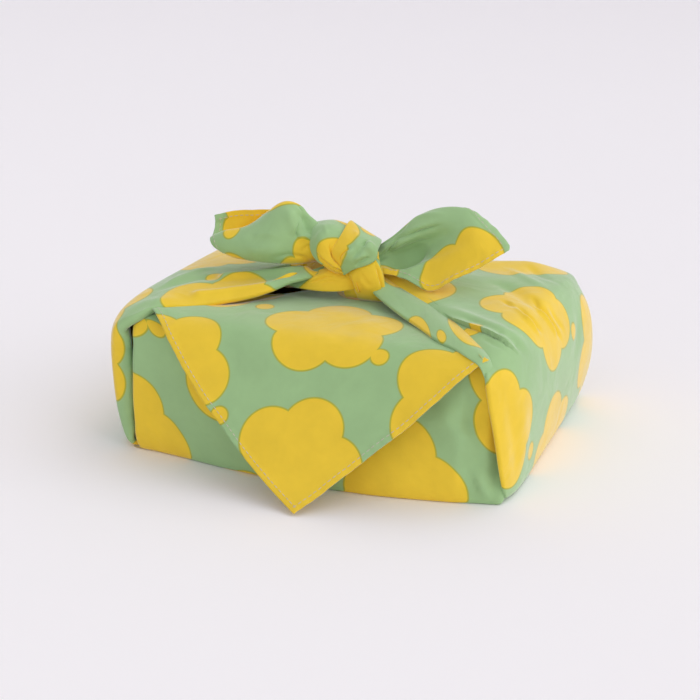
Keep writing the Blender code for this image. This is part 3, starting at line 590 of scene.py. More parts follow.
def press_folds(points, folds, toward):
    """Presses folds into a sheet along lines.

    A fold is a kind, its height, its half width, which ends fade out, and its line.
    A ridge rises (or sinks) on both sides.  A lap rises on the left of its line and
    leaves a groove on the right.  A roll rises and leans over to the right.
    """
    out = normals(points, toward)
    move = np.zeros(points.shape)
    for kind, height, width, ends, line in folds:
        away, place, side, across = line_distance(points, line, out)
        fade = np.ones_like(place)
        if ends in ("both", "start"):
            fade = np.minimum(fade, place / FADE)
        if ends in ("both", "end"):
            fade = np.minimum(fade, (1 - place) / FADE)
        fade = np.clip(fade, 0.0, 1.0)
        fade = height * fade * fade * (3 - 2 * fade)
        if kind == "lap":
            under = -LAP_GROOVE * fade * np.exp(-((side * away + 0.45) / 0.5) ** 2)
            fade = fade * np.exp(-(away / width) ** 2) / (1 + np.exp(-np.clip(side * away / 0.2, -30, 30)))
            fade += under
        else:
            fade = fade * np.exp(-(away / width) ** 2)
        move += out * fade[..., None]
        if kind == "roll":
            move += across * 0.9 * fade[..., None]
    return points + move


def roll_edge(points, place, toward, radius, tuck, last=False):
    """Turns one side of a grid under on a round fold and lays the rest beneath it."""
    if last:
        points, place = points[:, ::-1], place[:, ::-1]
    radius = np.broadcast_to(radius, len(points))[:, None]
    edge = points[:, 0]
    inward = unit(points[:, 3] - edge)
    up = normals(points, toward)[:, 0]
    up = unit(up - inward * np.sum(up * inward, axis=1, keepdims=True))
    uv_step = unit(place[:, 0] - place[:, 3])
    turns, lays = 10, max(2, int(tuck / 1.5))
    width = np.linalg.norm(np.diff(points, axis=1), axis=2).sum(axis=1)[:, None]
    tuck = np.minimum(tuck, 0.4 * width)
    cols, uvs = [], []
    for k in range(1, turns + 1):
        angle = math.pi * k / turns
        centre = edge - up * radius
        cols.append(centre + radius * (up * math.cos(angle) - inward * math.sin(angle)))
        uvs.append(place[:, 0] + uv_step * radius * angle)
    for k in range(1, lays + 1):
        run = tuck * k / lays
        cols.append(edge - 2 * radius * up + inward * run)
        uvs.append(place[:, 0] + uv_step * (radius * math.pi + run))
    points = np.concatenate([np.stack(cols[::-1], axis=1), points], axis=1)
    place = np.concatenate([np.stack(uvs[::-1], axis=1), place], axis=1)
    if last:
        points, place = points[:, ::-1], place[:, ::-1]
    return points, place


def turned(grid, side):
    """View of a grid in which the named side is its first column."""
    if side.endswith("row"):
        grid = grid.transpose(1, 0, 2)
    return grid[:, ::-1] if side.startswith("last") else grid


def turn_hem(points, toward, side, hem):
    """Raises the doubled cloth of a hem and puckers it a little along its stitches."""
    points = points.copy()
    out = normals(points, toward)
    grid, push = turned(points, side), turned(out, side)
    across = np.linalg.norm(np.diff(grid, axis=1), axis=2)
    across = np.concatenate([np.zeros((len(grid), 1)), np.cumsum(across, axis=1)], axis=1)
    along = np.linalg.norm(np.diff(grid[:, 0], axis=0), axis=1)
    along = np.concatenate([[0.0], np.cumsum(along)])[:, None]
    rise = HEM_RISE / (1 + np.exp(np.clip((across - hem - 0.8) / 0.22, -30, 30)))
    small = np.sin(along * 1.05 + 1.9 * np.sin(along * 0.13))
    long = np.sin(along * 0.31 + 1.1 * np.sin(along * 0.07))
    rise = rise + PUCKER * small * np.exp(-(across / 4.5) ** 2)
    rise = rise + RIPPLE * long * np.exp(-(across / 7.0) ** 2)
    grid += push * rise[..., None]
    return points


def hem_line(points, toward, inset, side, lift, part=(0.0, 1.0)):
    """Line on the outside of a grid, in from one side, with the outward normals along it."""
    out = normals(points, toward)
    grid = turned(np.concatenate([points + out * lift, out], axis=2), side)
    grid = grid[int(part[0] * (len(grid) - 1)):int(part[1] * (len(grid) - 1)) + 1]
    walked = np.linalg.norm(np.diff(grid[..., :3], axis=1), axis=2)
    walked = np.concatenate([np.zeros((len(grid), 1)), np.cumsum(walked, axis=1)], axis=1)
    line = [[np.interp(inset, dist, row[:, k]) for k in range(6)]
            for row, dist in zip(grid, walked) if dist[-1] > inset]
    return np.array(line)


def parcel_grid(around, up):
    """Rounded rings of the parcel, from the middle of its base to the rim of its top."""
    rings = smooth(PARCEL_RINGS, up)
    folds = np.array(PANEL_FOLDS)
    bow = np.array(FRONT_BOW)
    out = []
    for z, a, b, back in rings:
        left, right = min(back, 2.2), min(back, 2.2)
        line = [(-a, 0.0)]
        for x, y, r, start in ((-a + left, -b + left, left, 180), (a - right, -b + right, right, 270),
                               (a - back, b - back, back, 0), (-a + back, b - back, back, 90)):
            for turn in np.radians(start + np.linspace(0, 90, 24)):
                line.append((x + r * math.cos(turn), y + r * math.sin(turn)))
        line = np.array(line + [(-a, 0.0)])
        run = np.concatenate([[0.0], np.cumsum(np.linalg.norm(np.diff(line, axis=0), axis=1))])
        at = np.linspace(0, run[-1], around)
        ring = np.stack([np.interp(at, run, line[:, 0]), np.interp(at, run, line[:, 1])], axis=1)
        toward_back = np.clip((ring[:, 1] + b) / (2 * b), 0, 1)
        pull = np.where(ring[:, 0] < 0, -np.interp(z, folds[:, 0], folds[:, 1]) / 92.0,
                        np.interp(z, folds[:, 0], folds[:, 2]) / 92.0)
        if z > 0.5:
            ring[:, 0] *= pull + (1 - pull) * toward_back
        swell = max(0.0, 1.0 - z / FRONT_TOP) ** (1 + 3 * np.clip((ring[:, 0] - 72) / 10, 0, 1))
        front = np.clip(-ring[:, 1] / b, 0, 1)
        ring[:, 1] -= swell * np.interp(ring[:, 0], bow[:, 0], bow[:, 1]) * front
        edge = ring[:, 0].max()
        near = np.clip((ring[:, 0] - edge + 9.0) / 6.0, 0, 1)
        ring[:, 1] += np.interp(z, *np.array(PANEL_SINK).T) * near * near * (3 - 2 * near) * front
        out.append(np.concatenate([ring, np.full((around, 1), max(z, 0.0))], axis=1))
    return np.array(out)


def end_grid(table, rows, columns):
    """Cloth gathered from one end of the parcel into the knot."""
    table = np.array(table)
    wide = smooth(table[:, :9].reshape(len(table), 3, 3), rows)
    knots = np.linspace(0, rows - 1, len(table))
    steps = np.linalg.norm(np.diff(table[:, :9].reshape(-1, 3, 3), axis=0), axis=2).mean(axis=1)
    knots = np.concatenate([[0.0], np.cumsum(steps)]) / steps.sum() * (rows - 1)
    full = np.interp(np.arange(rows), knots, table[:, 9])
    even = np.linspace(0, 1, columns)
    v = 0.5 * even + 0.5 * (0.5 - 0.5 * np.cos(np.pi * even))
    w = np.abs(2 * v - 1)
    front, crown, back = wide[:, 0], wide[:, 1], wide[:, 2]
    lift = crown - 0.5 * (front + back)
    rise = 1 - w[None, :] ** full[:, None]
    grid = front[:, None] * (1 - v)[None, :, None] + back[:, None] * v[None, :, None]
    return grid + lift[:, None] * rise[:, :, None], np.interp(np.arange(rows), knots, table[:, 10])


def flap_grid(rows, columns):
    """Hanging corner: its grid lines run along its two hems."""
    tip = np.array(FLAP_RIGHT_HEM[0])
    flat = smooth(FLAP_RIGHT_HEM, rows)[:, None] + smooth(FLAP_LEFT_HEM, columns)[None, :] - tip
    across, past = flat[..., 0], flat[..., 1]
    curve = smooth(FLAP_SECTION, 600)
    y = np.interp(past, curve[:, 0], curve[:, 1])
    z = np.interp(past, curve[:, 0], curve[:, 2])
    z = z - np.clip((past + 20) / 30, 0, 1) * across * 0.010
    return np.stack([across, y, z], axis=-1), flat


# ---- pieces in the scene ----


def deselect():
    bpy.ops.object.select_all(action="DESELECT")


def lay_cloth(name, points, place, toward, offset=(0.0, 0.0)):
    """New grid of cloth shaped to the given points, its flat place kept as UV in metres."""
    rows, columns = points.shape[:2]
    deselect()
    bpy.ops.mesh.primitive_grid_add(x_subdivisions=columns - 1, y_subdivisions=rows - 1, size=1.0)
    piece = bpy.context.object
    piece.name = name
    mesh = piece.data
    mesh.name = name
    mesh.vertices.foreach_set("co", (points.reshape(-1, 3) * MM).ravel())
    index = np.empty(len(mesh.loops), dtype=np.int32)
    mesh.loops.foreach_get("vertex_index", index)
    flat = (place.reshape(-1, 2) + np.asarray(offset, float)) * MM
    mesh.uv_layers.active.data.foreach_set("uv", flat[index].astype(np.float32).ravel())
    mesh.update()
    face = mesh.polygons[len(mesh.polygons) // 2]
    centre = np.array(face.center) - np.asarray(toward, float) * MM
    if np.dot(np.array(face.normal), centre) < 0:
        mesh.flip_normals()
    bpy.ops.object.shade_smooth()
    mesh.materials.clear()
    mesh.materials.append(printed_cotton())
    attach(piece, "root")
    return piece


def thicken(piece, thickness, offset=0.0):
    """Gives a free sheet its real thickness."""
    deselect()
    piece.select_set(True)
    bpy.context.view_layer.objects.active = piece
    mod = piece.modifiers.new("thickness", "SOLIDIFY")
    mod.thickness = thickness
    mod.offset = offset
    bpy.ops.object.modifier_apply(modifier=mod.name)


def sew(name, lines, sizes):
    """Running stitches along lines on the cloth: one is modelled and the rest are its copies."""
    deselect()
    bpy.ops.mesh.primitive_uv_sphere_add(segments=6, ring_count=5, radius=0.5)
    first = bpy.context.object
    first.name = name
    for v in first.data.vertices:
        v.co = (v.co.x * sizes.stitch_length, v.co.y * sizes.thread, v.co.z * 0.7 * sizes.thread)
    bpy.ops.object.shade_smooth()
    first.data.materials.append(sewing_thread())
    stitch = first.data.copy()
    pitch = (sizes.stitch_length + sizes.stitch_gap) / MM
    spots = []
    for line in lines:
        length = np.concatenate([[0.0], np.cumsum(np.linalg.norm(np.diff(line[:, :3], axis=0), axis=1))])
        for s in np.arange(pitch, length[-1] - pitch, pitch):
            at, out = np.split(np.array([np.interp(s, length, line[:, k]) for k in range(6)]), 2)
            ahead = np.array([np.interp(s + 0.6, length, line[:, k]) for k in range(3)])
            along = unit(ahead - at)
            out = unit(out - along * np.dot(out, along))
            side = np.cross(out, along)
            spot = Matrix(np.column_stack([along, side, out]).tolist()).to_4x4()
            spot.translation = Vector(at * MM)
            spots.append(spot)
    deselect()
    for spot in spots[1:]:
        copy = bpy.data.objects.new(name, stitch.copy())
        copy.data.transform(spot)
        bpy.context.scene.collection.objects.link(copy)
        copy.select_set(True)
    first.data.transform(spots[0])
    first.select_set(True)
    bpy.context.view_layer.objects.active = first
    bpy.ops.object.join()
    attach(first, "root")
    return first


# ---- finishes ----


def node(tree, kind, **values):
    """New shader node with its settings and unlinked inputs given by name."""
    made = tree.nodes.new(kind)
    for key, value in values.items():
        if hasattr(made, key):
            setattr(made, key, value)
        else:
            made.inputs[key.replace("_", " ")].default_value = value
    return made


def calc(tree, operation, first, second=None, third=None):
    """Math node fed by sockets or numbers; returns its output."""
    made = tree.nodes.new("ShaderNodeMath")
    made.operation = operation
    for socket, value in zip(made.inputs, (first, second, third)):
        if value is None:
            continue
        if isinstance(value, (int, float)):
            socket.default_value = value
        else:
            tree.links.new(value, socket)
    return made.outputs[0]


def blossom_group():
    """Node group: signed distance, in metres, to a half-drop print of plum blossoms and dots."""
    name = "plum_blossom_print"
    if name in bpy.data.node_groups:
        return bpy.data.node_groups[name]
    look = bpy.context.scene.furoshiki_print
    tree = bpy.data.node_groups.new(name, "ShaderNodeTree")
    tree.interface.new_socket("Cloth", in_out="INPUT", socket_type="NodeSocketVector")
    tree.interface.new_socket("Distance", in_out="OUTPUT", socket_type="NodeSocketFloat")
    start = tree.nodes.new("NodeGroupInput")
    end = tree.nodes.new("NodeGroupOutput")
    split = tree.nodes.new("ShaderNodeSeparateXYZ")
    tree.links.new(start.outputs["Cloth"], split.inputs[0])
    u = calc(tree, "DIVIDE", split.outputs["X"], look.pitch_across)
    v = calc(tree, "DIVIDE", split.outputs["Y"], look.pitch_along)
    column = calc(tree, "FLOOR", u)
    drop = calc(tree, "MULTIPLY", calc(tree, "MODULO", calc(tree, "ABSOLUTE", column), 2.0), 0.5)
    v = calc(tree, "ADD", v, drop)
    row = calc(tree, "FLOOR", v)
    x = calc(tree, "MULTIPLY", calc(tree, "SUBTRACT", calc(tree, "SUBTRACT", u, column), 0.5),
             look.pitch_across)
    y = calc(tree, "MULTIPLY", calc(tree, "SUBTRACT", calc(tree, "SUBTRACT", v, row), 0.5),
             look.pitch_along)
    cell = tree.nodes.new("ShaderNodeCombineXYZ")
    tree.links.new(column, cell.inputs[0])
    tree.links.new(row, cell.inputs[1])
    chance = node(tree, "ShaderNodeTexWhiteNoise", noise_dimensions="2D")
    tree.links.new(cell.outputs[0], chance.inputs["Vector"])
    size = calc(tree, "MULTIPLY_ADD", chance.outputs["Value"], 0.16, 0.88)
    radius = calc(tree, "SQRT", calc(tree, "ADD", calc(tree, "MULTIPLY", x, x),
                                     calc(tree, "MULTIPLY", y, y)))
    angle = calc(tree, "ADD", calc(tree, "ARCTAN2", y, x),
                 calc(tree, "MULTIPLY", chance.outputs["Value"], 12.566))
    petal_angle = calc(tree, "WRAP", angle, math.pi / 5, -math.pi / 5)
    petal = look.motif_radius * 0.47
    px = calc(tree, "SUBTRACT", calc(tree, "MULTIPLY", radius, calc(tree, "COSINE", petal_angle)),
              calc(tree, "MULTIPLY", size, look.motif_radius - petal))
    py = calc(tree, "MULTIPLY", radius, calc(tree, "SINE", petal_angle))
    away = calc(tree, "SQRT", calc(tree, "ADD", calc(tree, "MULTIPLY", px, px),
                                   calc(tree, "MULTIPLY", py, py)))
    blossom = calc(tree, "SUBTRACT", away, calc(tree, "MULTIPLY", size, petal))
    blossom = calc(tree, "MINIMUM", blossom, calc(tree, "SUBTRACT", radius, 0.5 * look.motif_radius))
    for dot_x, dot_y, dot_r in ((0.42, -0.27, 0.0042),):
        dx = calc(tree, "SUBTRACT", x, dot_x * look.pitch_across)
        dy = calc(tree, "SUBTRACT", y, dot_y * look.pitch_along)
        dot = calc(tree, "SUBTRACT", calc(tree, "SQRT", calc(
            tree, "ADD", calc(tree, "MULTIPLY", dx, dx), calc(tree, "MULTIPLY", dy, dy))), dot_r)
        blossom = calc(tree, "MINIMUM", blossom, dot)
    tree.links.new(blossom, end.inputs["Distance"])
    return tree


def mix_colour(tree, factor, first, second):
    """Colour mix; returns its output."""
    made = tree.nodes.new("ShaderNodeMix")
    made.data_type = "RGBA"
    sockets = [s for s in made.inputs if s.enabled]
    for socket, value in zip(sockets, (factor, first, second)):
        if isinstance(value, (int, float)):
            socket.default_value = value
        elif isinstance(value, (tuple, list)):
            socket.default_value = tuple(value)
        else:
            tree.links.new(value, socket)
    return [s for s in made.outputs if s.enabled][0]


def printed_cotton():
    """Matte plain-weave cotton with yellow blossoms on green."""
    name = "printed_cotton"
    if name in bpy.data.materials:
        return bpy.data.materials[name]
    look = bpy.context.scene.furoshiki_print
    mat = bpy.data.materials.new(name)
    mat.use_nodes = True
    tree = mat.node_tree
    shader = tree.nodes["Principled BSDF"]
    uv = tree.nodes.new("ShaderNodeUVMap")
    print_ = tree.nodes.new("ShaderNodeGroup")
    print_.node_tree = blossom_group()
    tree.links.new(uv.outputs[0], print_.inputs["Cloth"])
    distance = print_.outputs["Distance"]
    inside = node(tree, "ShaderNodeMapRange", interpolation_type="SMOOTHSTEP")
    tree.links.new(distance, inside.inputs["Value"])
    for key, value in (("From Min", 0.00022), ("From Max", -0.00022), ("To Min", 0.0), ("To Max", 1.0)):
        inside.inputs[key].default_value = value
    rim = node(tree, "ShaderNodeMapRange", interpolation_type="SMOOTHSTEP")
    tree.links.new(calc(tree, "ABSOLUTE", distance), rim.inputs["Value"])
    for key, value in (("From Min", look.outline * 0.5), ("From Max", look.outline), ("To Min", 0.85),
                       ("To Max", 0.0)):
        rim.inputs[key].default_value = value
    body = mix_colour(tree, inside.outputs[0], tuple(look.ground) + (1.0,), tuple(look.motif) + (1.0,))
    body = mix_colour(tree, rim.outputs[0], body, tuple(look.rim) + (1.0,))
    mottle = node(tree, "ShaderNodeTexNoise", Scale=60.0, Detail=3.0, Roughness=0.6)
    tree.links.new(uv.outputs[0], mottle.inputs["Vector"])
    shade = node(tree, "ShaderNodeMapRange")
    tree.links.new(mottle.outputs[0], shade.inputs["Value"])
    for key, value in (("From Min", 0.3), ("From Max", 0.7), ("To Min", 0.955), ("To Max", 1.045)):
        shade.inputs[key].default_value = value
    tint = node(tree, "ShaderNodeHueSaturation")
    tree.links.new(body, tint.inputs["Color"])
    tree.links.new(shade.outputs[0], tint.inputs["Value"])
    tree.links.new(tint.outputs[0], shader.inputs["Base Color"])
    shader.inputs["Roughness"].default_value = 0.88
    shader.inputs["Specular IOR Level"].default_value = 0.25
    shader.inputs["Sheen Weight"].default_value = 0.8
    shader.inputs["Sheen Roughness"].default_value = 0.35
    split = tree.nodes.new("ShaderNodeSeparateXYZ")
    tree.links.new(uv.outputs[0], split.inputs[0])
    turn = 2 * math.pi / look.weave_pitch
    warp = calc(tree, "SINE", calc(tree, "MULTIPLY", split.outputs["X"], turn))
    weft = calc(tree, "SINE", calc(tree, "MULTIPLY", split.outputs["Y"], turn))
    weave = calc(tree, "MULTIPLY", warp, weft)
    slub = node(tree, "ShaderNodeTexNoise", Scale=900.0, Detail=2.0)
    tree.links.new(uv.outputs[0], slub.inputs["Vector"])
    height = calc(tree, "MULTIPLY_ADD", slub.outputs[0], 1.2, weave)
    crumple = node(tree, "ShaderNodeTexNoise", Scale=55.0, Detail=2.5, Roughness=0.45, Distortion=0.6)
    tree.links.new(uv.outputs[0], crumple.inputs["Vector"])
    soft = node(tree, "ShaderNodeBump", Strength=1.0, Distance=0.0011)
    tree.links.new(crumple.outputs[0], soft.inputs["Height"])
    bump = node(tree, "ShaderNodeBump", Strength=0.35, Distance=0.00006)
    tree.links.new(height, bump.inputs["Height"])
    tree.links.new(soft.outputs[0], bump.inputs["Normal"])
    tree.links.new(bump.outputs[0], shader.inputs["Normal"])
    return mat


def sewing_thread():
    """Pale polished thread of the hems."""
    name = "sewing_thread"
    if name in bpy.data.materials:
        return bpy.data.materials[name]
    mat = bpy.data.materials.new(name)
    mat.use_nodes = True
    tree = mat.node_tree
    shader = tree.nodes["Principled BSDF"]
    place = tree.nodes.new("ShaderNodeTexCoord")
    noise = node(tree, "ShaderNodeTexNoise", Scale=1500.0, Detail=2.0)
    tree.links.new(place.outputs["Object"], noise.inputs["Vector"])
    colour = mix_colour(tree, noise.outputs[0], (0.50, 0.42, 0.36, 1.0), (0.72, 0.64, 0.56, 1.0))
    tree.links.new(colour, shader.inputs["Base Color"])
    shader.inputs["Roughness"].default_value = 0.6
    shader.inputs["Sheen Weight"].default_value = 0.1
    return mat


def studio_paper():
    """Seamless pale paper under and behind the parcel."""
    mat = bpy.data.materials.new("studio_paper")
    mat.use_nodes = True
    tree = mat.node_tree
    shader = tree.nodes["Principled BSDF"]
    place = tree.nodes.new("ShaderNodeTexCoord")
    noise = node(tree, "ShaderNodeTexNoise", Scale=2.0, Detail=2.0)
    tree.links.new(place.outputs["Object"], noise.inputs["Vector"])
    tone = tuple(bpy.context.scene.furoshiki_stage.paper)
    colour = mix_colour(tree, noise.outputs[0], tuple(c * 0.99 for c in tone) + (1.0,), tone + (1.0,))
    tree.links.new(colour, shader.inputs["Base Color"])
    shader.inputs["Roughness"].default_value = 0.95
    shader.inputs["Specular IOR Level"].default_value = 0.1
    return mat


# ---- settings ----


class FuroshikiSizes(bpy.types.PropertyGroup):
    """Sizes of the cloth and its sewing."""
    cloth: bpy.props.FloatProperty(
        name="Cloth", description="Thickness of one layer", default=0.0006, unit="LENGTH")
    hem: bpy.props.FloatProperty(
        name="Hem", description="Stitches in from the edge", default=0.0025, unit="LENGTH")
    stitch_length: bpy.props.FloatProperty(
        name="Stitch", description="Length of one stitch", default=0.0022, unit="LENGTH")
    stitch_gap: bpy.props.FloatProperty(
        name="Gap", description="Gap between stitches", default=0.0004, unit="LENGTH")
    thread: bpy.props.FloatProperty(
        name="Thread", description="Width of the thread", default=0.00038, unit="LENGTH")


class FuroshikiPrint(bpy.types.PropertyGroup):
    """Colours and layout of the print."""
    ground: bpy.props.FloatVectorProperty(
        name="Ground", description="Colour of the ground", size=3, subtype="COLOR",
        default=(0.36, 0.56, 0.27), min=0, max=1)
    motif: bpy.props.FloatVectorProperty(
        name="Blossom", description="Colour of the blossoms", size=3, subtype="COLOR",
        default=(0.90, 0.62, 0.045), min=0, max=1)
    rim: bpy.props.FloatVectorProperty(
        name="Outline", description="Where the two colours overlap", size=3, subtype="COLOR",
        default=(0.44, 0.43, 0.04), min=0, max=1)
    motif_radius: bpy.props.FloatProperty(
        name="Blossom radius", description="Centre to petal tip", default=0.031, unit="LENGTH")
    pitch_across: bpy.props.FloatProperty(
        name="Pitch across", description="Column spacing", default=0.067, unit="LENGTH")
    pitch_along: bpy.props.FloatProperty(
        name="Pitch along", description="Row spacing", default=0.070, unit="LENGTH")
    outline: bpy.props.FloatProperty(
        name="Outline width", description="Half width of the outline", default=0.0005, unit="LENGTH")
    weave_pitch: bpy.props.FloatProperty(
        name="Weave", description="Two threads of the weave", default=0.0007, unit="LENGTH")


class FuroshikiStage(bpy.types.PropertyGroup):
    """Floor, light and camera."""
    paper: bpy.props.FloatVectorProperty(
        name="Paper", description="Colour of floor and backdrop", size=3, subtype="COLOR",
        default=(0.985, 0.958, 0.985), min=0, max=1)
    lens: bpy.props.FloatProperty(name="Lens", description="Focal length in mm", default=85.0)
    camera_at: bpy.props.FloatVectorProperty(
        name="Camera", description="Place of the camera", size=3, subtype="TRANSLATION",
        default=(0.2563, -0.7004, 0.2897))
    look_at: bpy.props.FloatVectorProperty(
        name="Look at", description="Point that the camera faces", size=3, subtype="TRANSLATION",
        default=(-0.0056, 0.0, 0.0347))


# ---- operators ----


class FUROSHIKI_OT_parcel(bpy.types.Operator):
    """Cloth drawn flat over the parcel's base, front and corners"""
    bl_idname = "furoshiki.parcel"
    bl_label = "Parcel cloth"

    def execute(self, context):
        inside = (0.0, 0.0, 30.0)
        points = parcel_grid(540, 160)
        place = flat_place(points)
        for folds in FOLDS["parcel_cloth"]:
            points = press_folds(points, folds, inside)
        points[..., 2] = np.maximum(points[..., 2], 0.0)
        piece = lay_cloth("parcel_cloth", points, place, inside, offset=(12.0, 10.0))
        deselect()
        piece.select_set(True)
        bpy.ops.object.mode_set(mode="EDIT")
        bpy.ops.mesh.select_all(action="SELECT")
        bpy.ops.mesh.remove_doubles(threshold=0.00002)
        bpy.ops.object.mode_set(mode="OBJECT")
        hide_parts(NODE)
        return {"FINISHED"}


class FUROSHIKI_OT_back(bpy.types.Operator):
    """Cloth that comes up the back of the parcel and over its top"""
    bl_idname = "furoshiki.back"
    bl_label = "Back panel"

    def execute(self, context):
        section = smooth(BACK_SECTION, 150)
        across = np.linspace(-84.0, 84.0, 140)
        points = np.empty((len(section), len(across), 3))
        points[..., 0] = across[None, :]
        points[..., 1] = section[:, 0][:, None]
        points[..., 2] = section[:, 1][:, None]
        inside = (0.0, 0.0, 30.0)
        place = flat_place(points)
        piece = lay_cloth("back_panel", points, place, inside, offset=(30.0, 0.0))
        return {"FINISHED"}


class FUROSHIKI_OT_ends(bpy.types.Operator):
    """Cloth gathered from both ends of the parcel into the knot"""
    bl_idname = "furoshiki.ends"
    bl_label = "Gathered ends"

    def execute(self, context):
        inside = (0.0, 0.0, 30.0)
        for name, table, offset in (("left_end", LEFT_END, (20.0, 15.0)),
                                    ("right_end", RIGHT_END, (40.0, 30.0))):
            points, fold = end_grid(table, 260, 220)
            place = flat_place(points)
            for folds in FOLDS[name]:
                points = press_folds(points, folds, inside)
            points, place = roll_edge(points, place, inside, fold, 7.0)
            points, place = roll_edge(points, place, inside, 1.2, 7.0, last=True)
            points[..., 2] = np.maximum(points[..., 2], 0.1)
            piece = lay_cloth(name, points, place, inside, offset)
        return {"FINISHED"}


class FUROSHIKI_OT_flap(bpy.types.Operator):
    """Hemmed corner that lies on the top and hangs over the front"""
    bl_idname = "furoshiki.flap"
    bl_label = "Hanging corner"

    def execute(self, context):
        sizes = context.scene.furoshiki_sizes
        inside = (0.0, 0.0, 20.0)
        points, place = flap_grid(130, 160)
        for folds in FOLDS["front_flap"]:
            points = press_folds(points, folds, inside)
        for side in ("first_column", "first_row"):
            points = turn_hem(points, inside, side, sizes.hem / MM)
        lift = 0.5 * sizes.cloth / MM
        lines = [hem_line(points, inside, sizes.hem / MM, side, lift)
                 for side in ("first_column", "first_row")]
        piece = lay_cloth("front_flap", points, place, inside, offset=(26.0, 22.0))
        thicken(piece, sizes.cloth)
        thread = sew("flap_stitches", lines, sizes)
        return {"FINISHED"}


class FUROSHIKI_OT_strip(bpy.types.Operator):
    """Edge of the right end, folded into a strip from the front corner to the knot"""
    bl_idname = "furoshiki.strip"
    bl_label = "Folded strip"

    def execute(self, context):
        under = (40.0, -20.0, 20.0)
        points = patch(STRIP, 120, 34)
        place = flat_place(points)
        radius = np.interp(np.arange(120), (0, 14, 45), (0.3, 0.5, 1.0))
        for last in (False, True):
            points, place = roll_edge(points, place, under, radius, 6.0, last)
        piece = lay_cloth("folded_strip", points, place, under, offset=(5.0, 10.0))
        return {"FINISHED"}


class FUROSHIKI_OT_tails(bpy.types.Operator):
    """Two free corners that come out of the knot"""
    bl_idname = "furoshiki.tails"
    bl_label = "Tails"

    def execute(self, context):
        sizes = context.scene.furoshiki_sizes
        lift, hem = 0.5 * sizes.cloth / MM, sizes.hem / MM
        for name, table, cells, hems, behind, offset in (
                ("left_tail", LEFT_TAIL, (130, 180),
                 (("first_row", hem, (0.0, 1.0)), ("first_column", hem, (0.0, 1.0))),
                 (-40.0, 30.0, 60.0), (60.0, 4.0)),
                ("right_tail", RIGHT_TAIL, (130, 130),
                 (("last_column", hem, (0.1, 1.0)), ("first_column", hem + 2.5, (0.6, 1.0))),
                 (40.0, 60.0, 70.0), (10.0, 50.0))):
            points = patch(table, *cells)
            place = flat_place(points)
            for folds in FOLDS[name]:
                points = press_folds(points, folds, behind)
            for side, inset, _ in hems:
                points = turn_hem(points, behind, side, inset)
            lines = [hem_line(points, behind, inset, side, lift, part)
                     for side, inset, part in hems]
            piece = lay_cloth(name, points, place, behind, offset)
            thicken(piece, sizes.cloth)
            thread = sew(name + "_stitches", lines, sizes)
        return {"FINISHED"}


class FUROSHIKI_OT_knot(bpy.types.Operator):
    """Wraps of the square knot"""
    bl_idname = "furoshiki.knot"
    bl_label = "Knot"

    def execute(self, context):
        heart = (0.0, -7.0, 82.0)
        for name, table, cells, radius, offset in (
                ("knot_left", WRAP_LEFT, (180, 90), 1.0, (20.0, 30.0)),
                ("knot_middle", WRAP_MIDDLE, (180, 90), 0.9, (60.0, 55.0)),
                ("knot_front", WRAP_FRONT, (200, 90), 0.9, (44.0, 8.0)),
                ("knot_side", WRAP_SIDE, (110, 50), 0.8, (20.0, 30.0)),
                ("knot_under", WRAP_UNDER, (110, 50), 0.8, (38.0, 70.0)),
                ("knot_right", WRAP_RIGHT, (60, 14), 0.7, (75.0, 70.0))):
            points = patch(table, *cells)
            place = flat_place(points)
            for folds in FOLDS[name]:
                points = press_folds(points, folds, heart)
            for last in (False, True):
                points, place = roll_edge(points, place, heart, radius, 3.0, last)
            piece = lay_cloth(name, points, place, heart, offset)
        return {"FINISHED"}


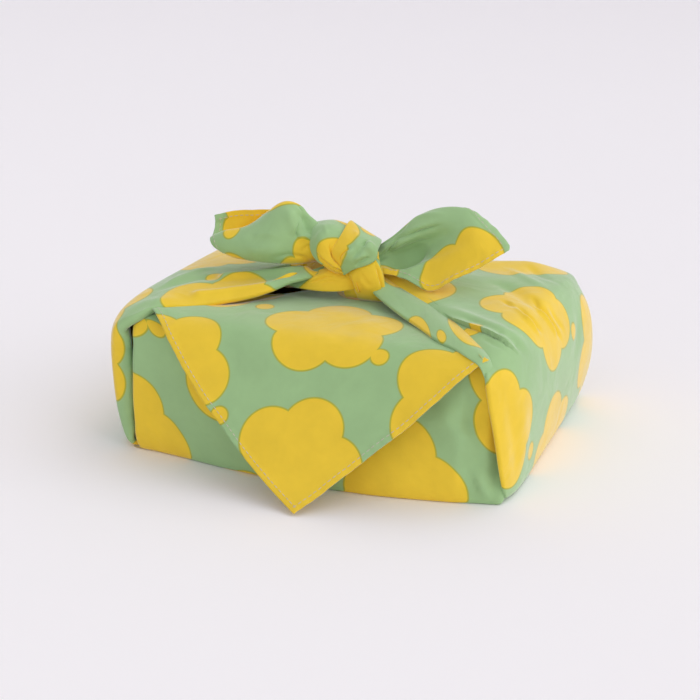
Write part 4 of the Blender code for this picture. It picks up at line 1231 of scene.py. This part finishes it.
class FUROSHIKI_OT_stage(bpy.types.Operator):
    """Pale floor and backdrop, soft light and the camera"""
    bl_idname = "furoshiki.stage"
    bl_label = "Stage"

    def execute(self, context):
        stage = context.scene.furoshiki_stage
        deselect()
        bpy.ops.mesh.primitive_grid_add(x_subdivisions=2, y_subdivisions=60, size=1.0)
        floor = context.object
        floor.name = "studio_floor"
        sweep = []
        for y in np.linspace(-3.0, 3.4, 61):
            if y < 2.0:
                sweep.append((y, 0.0))
            else:
                turn = min((y - 2.0) / 0.9, 1.0) * math.pi / 2
                rise = max(y - 2.9, 0.0) * 4
                sweep.append((2.0 + 0.9 * math.sin(turn), 0.9 * (1 - math.cos(turn)) + rise))
        count = 0
        for y, z in sweep:
            for x in (-4.0, 0.0, 4.0):
                floor.data.vertices[count].co = (x, y, z)
                count += 1
        bpy.ops.object.shade_smooth()
        floor.data.materials.append(studio_paper())

        camera_data = bpy.data.cameras.new("camera")
        camera_data.lens = stage.lens
        camera_data.sensor_width = 36.0
        camera = bpy.data.objects.new("camera", camera_data)
        context.scene.collection.objects.link(camera)
        camera.location = stage.camera_at
        direction = Vector(stage.look_at) - Vector(stage.camera_at)
        camera.rotation_euler = direction.to_track_quat("-Z", "Y").to_euler()
        context.scene.camera = camera

        for name, place, spread, power in (("window", (1.0, 0.38, 0.6), 1.8, 1.8),
                                           ("back_window", (-0.1, 1.0, 0.9), 1.3, 0.45),
                                           ("fill", (0.1, -1.0, 0.55), 1.3, 0.42)):
            light_data = bpy.data.lights.new(name, "SUN")
            light_data.angle = spread
            light_data.energy = power
            light = bpy.data.objects.new(name, light_data)
            context.scene.collection.objects.link(light)
            light.location = place
            light.rotation_euler = (-Vector(place)).to_track_quat("-Z", "Y").to_euler()
        world = bpy.data.worlds.new("room")
        world.use_nodes = True
        world.node_tree.nodes["Background"].inputs["Color"].default_value = (0.93, 0.92, 0.95, 1.0)
        world.node_tree.nodes["Background"].inputs["Strength"].default_value = 0.52
        context.scene.world = world
        context.scene.view_settings.view_transform = "Standard"
        return {"FINISHED"}


class FUROSHIKI_PT_panel(bpy.types.Panel):
    """Pieces of the wrap, in the order they are made"""
    bl_idname = "FUROSHIKI_PT_panel"
    bl_label = "Furoshiki wrap"
    bl_space_type = "VIEW_3D"
    bl_region_type = "UI"
    bl_category = "Furoshiki"

    def draw(self, context):
        column = self.layout.column()
        for operator in OPERATORS:
            column.operator(operator.bl_idname, text=operator.bl_label)


OPERATORS = (
    FUROSHIKI_OT_stage,
    FUROSHIKI_OT_parcel,
    FUROSHIKI_OT_back,
    FUROSHIKI_OT_ends,
    FUROSHIKI_OT_flap,
    FUROSHIKI_OT_strip,
    FUROSHIKI_OT_knot,
    FUROSHIKI_OT_tails,
)
SETTINGS = (FuroshikiSizes, FuroshikiPrint, FuroshikiStage)


def register():
    for cls in SETTINGS + OPERATORS + (FUROSHIKI_PT_panel,):
        bpy.utils.register_class(cls)
    bpy.types.Scene.furoshiki_sizes = bpy.props.PointerProperty(type=FuroshikiSizes)
    bpy.types.Scene.furoshiki_print = bpy.props.PointerProperty(type=FuroshikiPrint)
    bpy.types.Scene.furoshiki_stage = bpy.props.PointerProperty(type=FuroshikiStage)


def unregister():
    del bpy.types.Scene.furoshiki_stage
    del bpy.types.Scene.furoshiki_print
    del bpy.types.Scene.furoshiki_sizes
    for cls in reversed(SETTINGS + OPERATORS + (FUROSHIKI_PT_panel,)):
        bpy.utils.unregister_class(cls)


def main():
    register()
    bpy.ops.furoshiki.stage()
    bpy.ops.furoshiki.parcel()
    bpy.ops.furoshiki.back()
    bpy.ops.furoshiki.ends()
    bpy.ops.furoshiki.flap()
    bpy.ops.furoshiki.strip()
    bpy.ops.furoshiki.knot()
    bpy.ops.furoshiki.tails()


if __name__ == "__main__":
    main()
